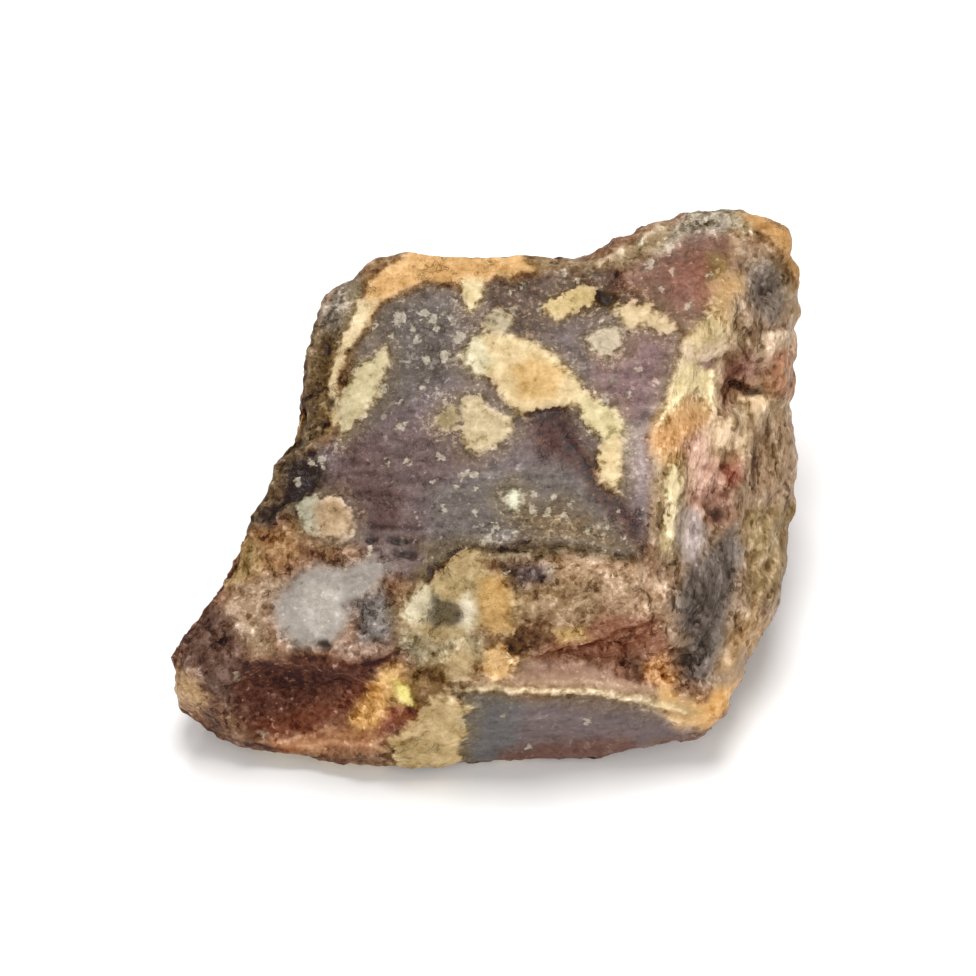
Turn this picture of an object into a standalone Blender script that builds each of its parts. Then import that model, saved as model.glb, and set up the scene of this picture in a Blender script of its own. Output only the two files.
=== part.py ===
"""A raw lump of amber, one natural piece, lying on its flattest side.

Metres, +Z up, origin at the centre of the footprint on the ground. -Y is the broken front with its foot
and hollow, +X the streaked crust side. The lump is the union of four rough bodies, broken open by
shallow shell-shaped fractures, then rounded by weathering and roughened by its crust.
"""

from math import exp, pi, radians, sin

import bmesh
import bpy
from mathutils import Matrix, Vector, noise

MM = 0.001

# Driving dimensions, in millimetres.
GRAIN_OF_SOLID = 0.5     # voxel that welds the bodies into one skin
WEATHERING_PASSES = 9    # smoothing steps that round the broken edges
TRIANGLES = 8400         # facets kept on the finished lump
SHARP_DEGREES = 50       # facets that meet at more than this show an edge
SOLE_TRIM = 0.35         # how much the resting side is worn flat
WORN_BELOW = (0, 5)      # heights between which the relief comes up to its full depth

AMBER_COLOUR = (0.16, 0.075, 0.035)
AMBER_ROUGHNESS = 0.45
AMBER_IOR = 1.54

# The rough bodies, as the corners that their faces run between: name -> (x, y, z).
BLOCK = {
    "top_back_left_corner": (-16.4, 16, 27),
    "top_back_left": (-10.5, 19.7, 28.6),
    "top_back": (1, 20.6, 29.3),
    "top_back_right": (12, 20.5, 28.5),
    "right_ridge_back": (20, 12, 29),
    "right_ridge": (18, 1, 27.5),
    "right_ridge_front": (16, -11, 25),
    "front_ridge_right": (15, -16.8, 22.2),
    "front_ridge": (4, -18, 21.2),
    "front_ridge_left": (-6, -17, 20.4),
    "front_bulge": (6, -20.6, 15.5),
    "front_bulge_right": (16.5, -19.6, 14.5),
    "left_rim_front": (-18.5, -7.5, 20.3),
    "left_rim": (-20.3, -3, 20.8),
    "left_rim_back": (-19.3, 6, 23.3),
    "right_shoulder": (31.8, 17, 20),
    "right_belly_back": (31.8, 10, 14),
    "right_belly": (31, 3, 11),
    "right_belly_front": (27.8, -12, 9.5),
    "right_toe": (24.6, -18.5, 6),
    "back_belly_right": (24, 27, 14),
    "back_belly": (2, 28, 13),
    "back_belly_left": (-13, 24, 13),
    "hem_back_left": (-16.5, 19, 6),
    "hem_back": (0, 25.5, 6),
    "hem_back_right": (20, 25, 5.5),
    "hem_right": (28, 10, 4.5),
    "hem_right_front": (26, -9, 3.5),
    "hem_toe": (21.8, -18.2, 3),
    "hem_left_front": (-21, -12, 4),
    "hem_left": (-20.5, 5, 5),
    "sole_back_left": (-11, 14, 0),
    "sole_back": (1, 18, 0),
    "sole_back_right": (15, 16, 0),
    "sole_right": (21, 6, 0),
    "sole_right_front": (19.5, -9, 0),
    "sole_front": (8, -18, 0),
    "sole_front_left": (-7, -18, 0),
    "sole_left_front": (-15, -11, 0),
    "sole_left": (-14, 4, 0),
}
FOOT = {
    "toe_left": (-9, -23.8, 1.6),
    "toe": (7, -24.3, 1.2),
    "toe_right": (22, -20.8, 2.6),
    "sole_left": (-8, -19, 0),
    "sole": (7, -19.5, 0),
    "sole_right": (17, -15, 0),
    "edge_left": (-8, -22.8, 11.4),
    "edge": (4, -23.4, 13),
    "edge_right": (15.5, -22, 12),
    "edge_end": (23.8, -19.8, 6.8),
    "ledge_left": (-8, -17, 13.5),
    "ledge": (5, -17, 14.5),
    "ledge_right": (18, -16, 13),
    "root_left": (-8, -12, 0),
    "root_right": (18, -12, 0),
}
NOSE = {
    "tip": (-30.8, -17.8, 11.8),
    "chin": (-30.4, -18.8, 4.5),
    "bridge_tip": (-27.6, -12.3, 15.2),
    "bridge": (-24, -8, 18),
    "bridge_root": (-20.5, -2, 20.2),
    "brow_tip": (-22, -20.3, 13.2),
    "brow": (-12, -20.8, 15),
    "brow_root": (-5, -18.6, 18.5),
    "crown": (-14, -11, 20.4),
    "snout": (-28.3, -20.9, 8),
    "lip": (-23, -22.6, 4.2),
    "lip_root": (-12, -24.2, 4.8),
    "jaw_tip": (-26.5, -20.8, 2),
    "jaw": (-14, -23.6, 1.8),
    "jaw_root": (-8, -24, 1.6),
    "sole_tip": (-20, -16.5, 0),
    "sole_root": (-9, -19, 0),
    "jaw_back": (-28.3, -12, 4),
    "cheek_back": (-21.3, -2, 4.5),
    "cheek_root": (-21.5, -3, 15),
    "buttress": (3.2, -19.6, 16.2),
    "buttress_foot": (1.5, -22, 13.2),
    "root": (-6, -10, 4),
}
SHOULDER = {
    "peak": (22, 23.8, 31.5),
    "peak_end": (26.2, 23.8, 30.8),
    "peak_left": (18, 23, 30.6),
    "peak_right": (29.6, 22, 28.8),
    "crest_front": (21, 9, 28.9),
    "crest_right": (27, 12, 27.2),
    "saddle": (11, 21, 28.7),
    "ramp": (8, 13, 28),
    "ramp_front": (14, 3, 26.8),
    "side": (32.1, 18, 22.5),
    "side_front": (30.5, 9, 19),
    "root_back": (24, 27, 15),
    "root_right": (29, 12, 16),
    "root_left": (12, 24, 18),
}

# Shell-shaped fractures: name -> (centre, radii) of the ellipsoid that the break follows.
FRACTURES = {
    "main_face_shell": ((-8, -25, 142.6), (150, 130, 121)),
    "back_shell": ((3, 48, 22), (30, 22.5, 22)),
    "left_flank_shell": ((-44, 6, 12), (25, 26, 20)),
    "hollow": ((-18, -27, 10.2), (10.8, 8.6, 7.4)),
    "front_groove": ((13.5, -21.3, 14.6), (8.5, 2.9, 1.9)),
    "foot_shell": ((7, -62, 3), (44, 39.6, 30)),
}
SKIN_OF_FRACTURE = 0.7   # a point this near to a break's ellipsoid is on clean amber

# Relief: name -> (wavelength, height).
SWELL = (15, 0.9)
LUMPS = (5.5, 0.6)
RIDGES = (3.6, 0.85)     # along the streaked right flank
RIDGE_STRETCH = 4.5      # how much longer than wide the streaks are
FLANK_STARTS = 14        # x beyond which the right flank is streaked
RIPPLES = (3.2, 0.16)    # on the back shell, round the point where it was struck
STRUCK_AT = (3, 27, 27)
# Pits and dents: name -> (where, radius, depth).
PITS = {
    "brow_pit": ((-4.4, -19, 17.8), 1.9, 1.1),
    "flank_slit": ((26.6, 7.5, 22.4), 2, 1),
    "rim_notch": ((28.6, 17.5, 26.4), 1.9, 1.3),
    "toe_pit": ((19.4, -19.2, 12.5), 1.5, 1.2),
    "face_pit": ((12, 15.6, 29), 1.6, 0.7),
    "left_pit": ((-21.5, 4, 17), 2.4, 0.9),
    "back_pit": ((-11, 24, 18), 2.2, 1.0),
}


def cutter_collection():
    """The collection of hulls and fracture shapes, which aren't part of the lump."""
    guides = bpy.data.collections.new("guides")
    bpy.context.scene.collection.children.link(guides)
    return guides


def keep_as_guide(obj, guides):
    obj.hide_render = True
    obj.display_type = "WIRE"
    guides.objects.link(obj)
    return obj


def amber_finish():
    """Dark, slightly translucent fossil resin under a dull crust."""
    finish = bpy.data.materials.new("raw_amber")
    finish.use_nodes = True
    shader = finish.node_tree.nodes["Principled BSDF"]
    shader.inputs["Base Color"].default_value = (*AMBER_COLOUR, 1)
    shader.inputs["Roughness"].default_value = AMBER_ROUGHNESS
    shader.inputs["Metallic"].default_value = 0
    shader.inputs["IOR"].default_value = AMBER_IOR
    return finish


def rough_body(name, corners):
    """The convex lump between the named corners."""
    bm = bmesh.new()
    for corner in corners.values():
        bm.verts.new(Vector(corner) * MM)
    hull = bmesh.ops.convex_hull(bm, input=bm.verts)
    inside = [v for v in hull["geom_interior"] if isinstance(v, bmesh.types.BMVert)]
    bmesh.ops.delete(bm, geom=inside, context="VERTS")
    mesh = bpy.data.meshes.new(name)
    bm.to_mesh(mesh)
    bm.free()
    return bpy.data.objects.new(name, mesh)


def fracture_shape(name, centre, radii):
    """The ellipsoid that a shell-shaped break follows."""
    bm = bmesh.new()
    bmesh.ops.create_icosphere(bm, subdivisions=5, radius=1)
    bmesh.ops.transform(bm, matrix=Matrix.Diagonal((*radii, 1)), verts=bm.verts)
    bmesh.ops.translate(bm, vec=centre, verts=bm.verts)
    bmesh.ops.scale(bm, vec=(MM, MM, MM), verts=bm.verts)
    mesh = bpy.data.meshes.new(name)
    bm.to_mesh(mesh)
    bm.free()
    return bpy.data.objects.new(name, mesh)


def combine(obj, other, operation):
    step = obj.modifiers.new(other.name, "BOOLEAN")
    step.operation = operation
    step.object = other


def evaluated_mesh(obj):
    """obj's mesh with its modifiers applied."""
    bpy.context.view_layer.update()
    graph = bpy.context.evaluated_depsgraph_get()
    return bpy.data.meshes.new_from_object(obj.evaluated_get(graph))


def swap_mesh(obj, mesh):
    old = obj.data
    obj.data = mesh
    obj.modifiers.clear()
    bpy.data.meshes.remove(old)


def weld_bodies(lump, guides):
    """Joins the rough bodies, breaks them open along the fractures and rounds the edges."""
    for name, corners in (("foot", FOOT), ("nose", NOSE), ("shoulder", SHOULDER)):
        combine(lump, keep_as_guide(rough_body(name, corners), guides), "UNION")
    for name, (centre, radii) in FRACTURES.items():
        combine(lump, keep_as_guide(fracture_shape(name, centre, radii), guides), "DIFFERENCE")
    skin = lump.modifiers.new("skin", "REMESH")
    skin.mode = "VOXEL"
    skin.voxel_size = GRAIN_OF_SOLID * MM
    weathering = lump.modifiers.new("weathering", "SMOOTH")
    weathering.iterations = WEATHERING_PASSES
    swap_mesh(lump, evaluated_mesh(lump))


def fractal(point, wavelength, octaves=3):
    return noise.fractal(point / wavelength, 1.0, 2.0, octaves, noise_basis="PERLIN_NEW")


def ridged(point, wavelength):
    """1 on a crest, falling to 0 between crests."""
    return 1 - min(1, 2.2 * abs(noise.noise(point / wavelength, noise_basis="PERLIN_NEW")))


def smooth_step(value, start, end):
    t = min(1, max(0, (value - start) / (end - start)))
    return t * t * (3 - 2 * t)


def cleanness(point):
    """1 where the surface is a clean fracture, 0 where it is crust."""
    found = 0
    for centre, radii in FRACTURES.values():
        scaled = [(p - c) / r for p, c, r in zip(point, centre, radii)]
        off = abs(Vector(scaled).length - 1) * min(radii)
        found = max(found, 1 - smooth_step(off, 0.5 * SKIN_OF_FRACTURE, SKIN_OF_FRACTURE))
    return found


def relief(point, normal):
    """How far the skin stands out of the welded bodies at this point, in millimetres."""
    crust = 1 - cleanness(point)
    height = SWELL[1] * fractal(point, SWELL[0], 2)
    lumpy = crust * (1 - 0.65 * smooth_step(normal.z, 0.7, 0.92))
    height += LUMPS[1] * fractal(point, LUMPS[0]) * (0.15 + 0.85 * lumpy)
    flank = smooth_step(point.x, FLANK_STARTS, FLANK_STARTS + 4) * smooth_step(normal.x, 0.25, 0.6)
    along = Vector((point.x, point.y / RIDGE_STRETCH, point.z))
    height += RIDGES[1] * (ridged(along, RIDGES[0]) - 0.5) * flank
    struck = (point - Vector(STRUCK_AT)).length
    back = smooth_step(normal.y, 0.4, 0.8) * (1 - crust)
    height += RIPPLES[1] * sin(2 * pi * struck / RIPPLES[0]) * back
    for where, radius, depth in PITS.values():
        away = (point - Vector(where)).length / radius
        height -= depth * exp(-away * away)
    return height * smooth_step(point.z, *WORN_BELOW)


def roughen(lump):
    """Moves every point of the skin by the relief there."""
    bm = bmesh.new()
    bm.from_mesh(lump.data)
    bm.normal_update()
    moved = [v.co + v.normal * relief(v.co / MM, v.normal) * MM for v in bm.verts]
    for v, place in zip(bm.verts, moved):
        v.co = place
    bm.to_mesh(lump.data)
    bm.free()


def thin_out(lump):
    """Keeps about TRIANGLES facets, with most of them where the form turns."""
    triangles = sum(len(face.vertices) - 2 for face in lump.data.polygons)
    fewer = lump.modifiers.new("fewer_facets", "DECIMATE")
    fewer.ratio = TRIANGLES / triangles
    swap_mesh(lump, evaluated_mesh(lump))


def settle(lump):
    """Wears the sole flat and puts the origin at the middle of the footprint."""
    bm = bmesh.new()
    bm.from_mesh(lump.data)
    lowest = min(v.co.z for v in bm.verts)
    everything = bm.verts[:] + bm.edges[:] + bm.faces[:]
    ground = Vector((0, 0, lowest + SOLE_TRIM * MM))
    up = (0, 0, 1)
    cut = bmesh.ops.bisect_plane(bm, geom=everything, plane_co=ground, plane_no=up, clear_inner=True)
    rim = [e for e in cut["geom_cut"] if isinstance(e, bmesh.types.BMEdge)]
    bmesh.ops.holes_fill(bm, edges=rim)
    bmesh.ops.triangulate(bm, faces=bm.faces)
    xs = [v.co.x for v in bm.verts]
    ys = [v.co.y for v in bm.verts]
    footprint = Vector((min(xs) + max(xs), min(ys) + max(ys), 0)) / 2
    bmesh.ops.translate(bm, vec=-footprint - ground, verts=bm.verts)
    bm.to_mesh(lump.data)
    bm.free()


def main():
    for obj in list(bpy.data.objects):
        bpy.data.objects.remove(obj)
    guides = cutter_collection()
    home = bpy.data.collections.new("raw_amber_piece")
    bpy.context.scene.collection.children.link(home)
    lump = rough_body("amber_lump", BLOCK)
    home.objects.link(lump)
    weld_bodies(lump, guides)
    roughen(lump)
    thin_out(lump)
    settle(lump)
    lump.data.materials.append(amber_finish())
    lump.data.shade_smooth()
    lump.data.set_sharp_from_angle(angle=radians(SHARP_DEGREES))


main()
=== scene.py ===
"""Raw amber: one natural lump of fossil resin, dark and see-through where it broke clean, else crusted.

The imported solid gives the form. The script gives it a finer skin, marks where crust, rind and clean amber
lie, raises and finishes them, then lays the lump on a pale floor in soft light.
"""

from math import cos, radians, sin

import bmesh
import bpy
import numpy as np
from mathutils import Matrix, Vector, noise


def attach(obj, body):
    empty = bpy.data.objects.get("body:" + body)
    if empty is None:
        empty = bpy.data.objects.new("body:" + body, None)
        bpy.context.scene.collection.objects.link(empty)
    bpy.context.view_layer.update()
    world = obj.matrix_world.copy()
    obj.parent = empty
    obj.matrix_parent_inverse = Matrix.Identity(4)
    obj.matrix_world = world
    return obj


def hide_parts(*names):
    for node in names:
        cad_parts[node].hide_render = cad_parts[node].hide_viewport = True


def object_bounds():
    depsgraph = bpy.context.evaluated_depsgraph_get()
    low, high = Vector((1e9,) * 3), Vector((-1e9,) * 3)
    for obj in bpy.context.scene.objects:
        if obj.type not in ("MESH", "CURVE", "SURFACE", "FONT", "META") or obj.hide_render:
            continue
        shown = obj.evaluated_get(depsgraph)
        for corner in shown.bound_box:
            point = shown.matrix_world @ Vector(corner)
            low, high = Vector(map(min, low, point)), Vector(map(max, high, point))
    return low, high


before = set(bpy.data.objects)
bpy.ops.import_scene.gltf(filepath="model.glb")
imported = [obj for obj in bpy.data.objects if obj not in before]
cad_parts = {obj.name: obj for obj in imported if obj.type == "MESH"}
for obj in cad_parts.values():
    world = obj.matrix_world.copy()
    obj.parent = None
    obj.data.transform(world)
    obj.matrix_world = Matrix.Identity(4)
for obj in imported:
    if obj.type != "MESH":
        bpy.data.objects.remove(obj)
cad_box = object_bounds()


# The lump's skin. The real one is a single piece of fossil resin, as it was dug up. The solid's facets are
# smoothed away on a mesh that is fine enough for the crust's grit, and it stands in the solid's place.
MM = 0.001
SKIN_PITCH = 0.34
FACET_SMOOTHING = 6
SAME_POINT = 0.001


def vectors(collection, field):
    """A mesh layer of vectors as an array with a row for each vertex."""
    flat = np.empty(3 * len(collection))
    collection.foreach_get(field, flat)
    return flat.reshape(-1, 3)


def fine_skin(name, solid):
    """The solid as one closed, even mesh with its facets smoothed away."""
    bm = bmesh.new()
    bm.from_mesh(solid.data)
    bmesh.ops.remove_doubles(bm, verts=bm.verts, dist=SAME_POINT * MM)
    mesh = bpy.data.meshes.new(name)
    bm.to_mesh(mesh)
    bm.free()
    skin = bpy.data.objects.new(name, mesh)
    bpy.context.scene.collection.objects.link(skin)
    grid = skin.modifiers.new("grid", "REMESH")
    grid.mode = "VOXEL"
    grid.voxel_size = SKIN_PITCH * MM
    rounding = skin.modifiers.new("rounding", "SMOOTH")
    rounding.iterations = FACET_SMOOTHING
    graph = bpy.context.evaluated_depsgraph_get()
    skin.data = bpy.data.meshes.new_from_object(skin.evaluated_get(graph))
    skin.modifiers.clear()
    skin.data.shade_smooth()
    return skin


def move_skin(points):
    """Puts the skin's vertices at some points."""
    lump.data.vertices.foreach_set("co", points.ravel())
    lump.data.update()


lump = fine_skin("raw_amber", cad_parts["amber_lump"])
place = vectors(lump.data.vertices, "co") / MM
outward = vectors(lump.data.vertex_normals, "vector")


# The lump's edges. Worn edges stand in a little from the solid's, and the corner and toe stand out. Each
# trim follows an edge. Its marks are given as they lie in front of the eye, in millimetres to the right and
# up on the plane through the lump's middle that faces the eye, with how far the skin rises there.
EYE_DISTANCE = 420
EYE_ELEVATION = radians(50)
AIM = np.array((0, 0, 13.8))
RIGHT = np.array((1, 0, 0))
UP = np.array((0, sin(EYE_ELEVATION), cos(EYE_ELEVATION)))
TO_EYE = np.array((0, -cos(EYE_ELEVATION), sin(EYE_ELEVATION)))
EYE = AIM + EYE_DISTANCE * TO_EYE
FAR_OFF = 1e9
TRIM_REACH = 4.0
SOLE_NORMAL = -0.95
SOLE_EDGE = 0.35
TRIMS = {
    "left side": (
        (-14.5, 21.0, -0.7), (-17.0, 19.2, -0.8), (-18.5, 15.0, -0.8), (-19.2, 11.5, -0.9),
        (-20.0, 8.0, -1.6), (-20.5, 5.2, -1.7), (-21.2, 2.2, 0.0), (-23.6, -1.6, -0.4), (-24.9, -4.1, -1.0),
        (-27.1, -9.0, -1.2), (-28.2, -11.2, -0.8), (-31.8, -15.5, -0.9), (-32.0, -17.7, -0.9),
        (-31.2, -20.4, -0.2), (-29.1, -23.6, -0.8), (-26.7, -25.0, -0.6), (-24.0, -26.0, 0.0)),
    "top": ((-6.0, 23.6, 0.0), (-2.0, 23.8, -0.7), (8.5, 24.1, -0.8), (12.0, 25.5, 0.0)),
    "corner": ((26.5, 27.5, 0.0), (28.9, 25.0, 1.1), (30.0, 21.5, 0.9), (30.6, 18.5, 0.0)),
    "toe": (
        (29.0, -4.0, 0.0), (27.9, -9.6, 1.1), (26.5, -13.6, 0.9), (24.6, -17.0, 0.6), (22.8, -19.5, 1.2),
        (21.8, -21.5, 1.8), (20.6, -23.0, 1.0), (18.5, -24.0, 0.0)),
}


def in_view(points):
    """How far to the right and up each point lies in front of the eye."""
    from_eye = points - EYE
    scale = EYE_DISTANCE / (from_eye @ -TO_EYE)
    return (from_eye @ RIGHT) * scale, (from_eye @ UP) * scale


def stretches(marks, across, upward):
    """For each stretch of a line of marks, every place's gap to it and its share of the way along it."""
    for (x0, y0, *_), (x1, y1, *_) in zip(marks, marks[1:]):
        run, rise = x1 - x0, y1 - y0
        along = np.clip(((across - x0) * run + (upward - y0) * rise) / (run * run + rise * rise), 0, 1)
        yield np.hypot(across - x0 - along * run, upward - y0 - along * rise), along


def trimmed(points, normals):
    """The points moved in or out along their normals near the marked edges, but not on the sole."""
    across, upward = in_view(points)
    moved = np.zeros(len(points))
    for marks in TRIMS.values():
        nearest = np.full(len(points), FAR_OFF)
        amount = np.zeros(len(points))
        for (gap, along), start, end in zip(stretches(marks, across, upward), marks, marks[1:]):
            amount = np.where(gap < nearest, start[2] + (end[2] - start[2]) * along, amount)
            nearest = np.minimum(nearest, gap)
        fade = np.clip(1 - nearest / TRIM_REACH, 0, 1)
        moved += amount * fade * fade * (3 - 2 * fade)
    off_the_sole = np.clip((normals[:, 2] - SOLE_NORMAL) / SOLE_EDGE, 0, 1)
    return points + normals * (moved * off_the_sole)[:, None]


move_skin(trimmed(place, outward) * MM)
place = vectors(lump.data.vertices, "co") / MM
outward = vectors(lump.data.vertex_normals, "vector")


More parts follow.
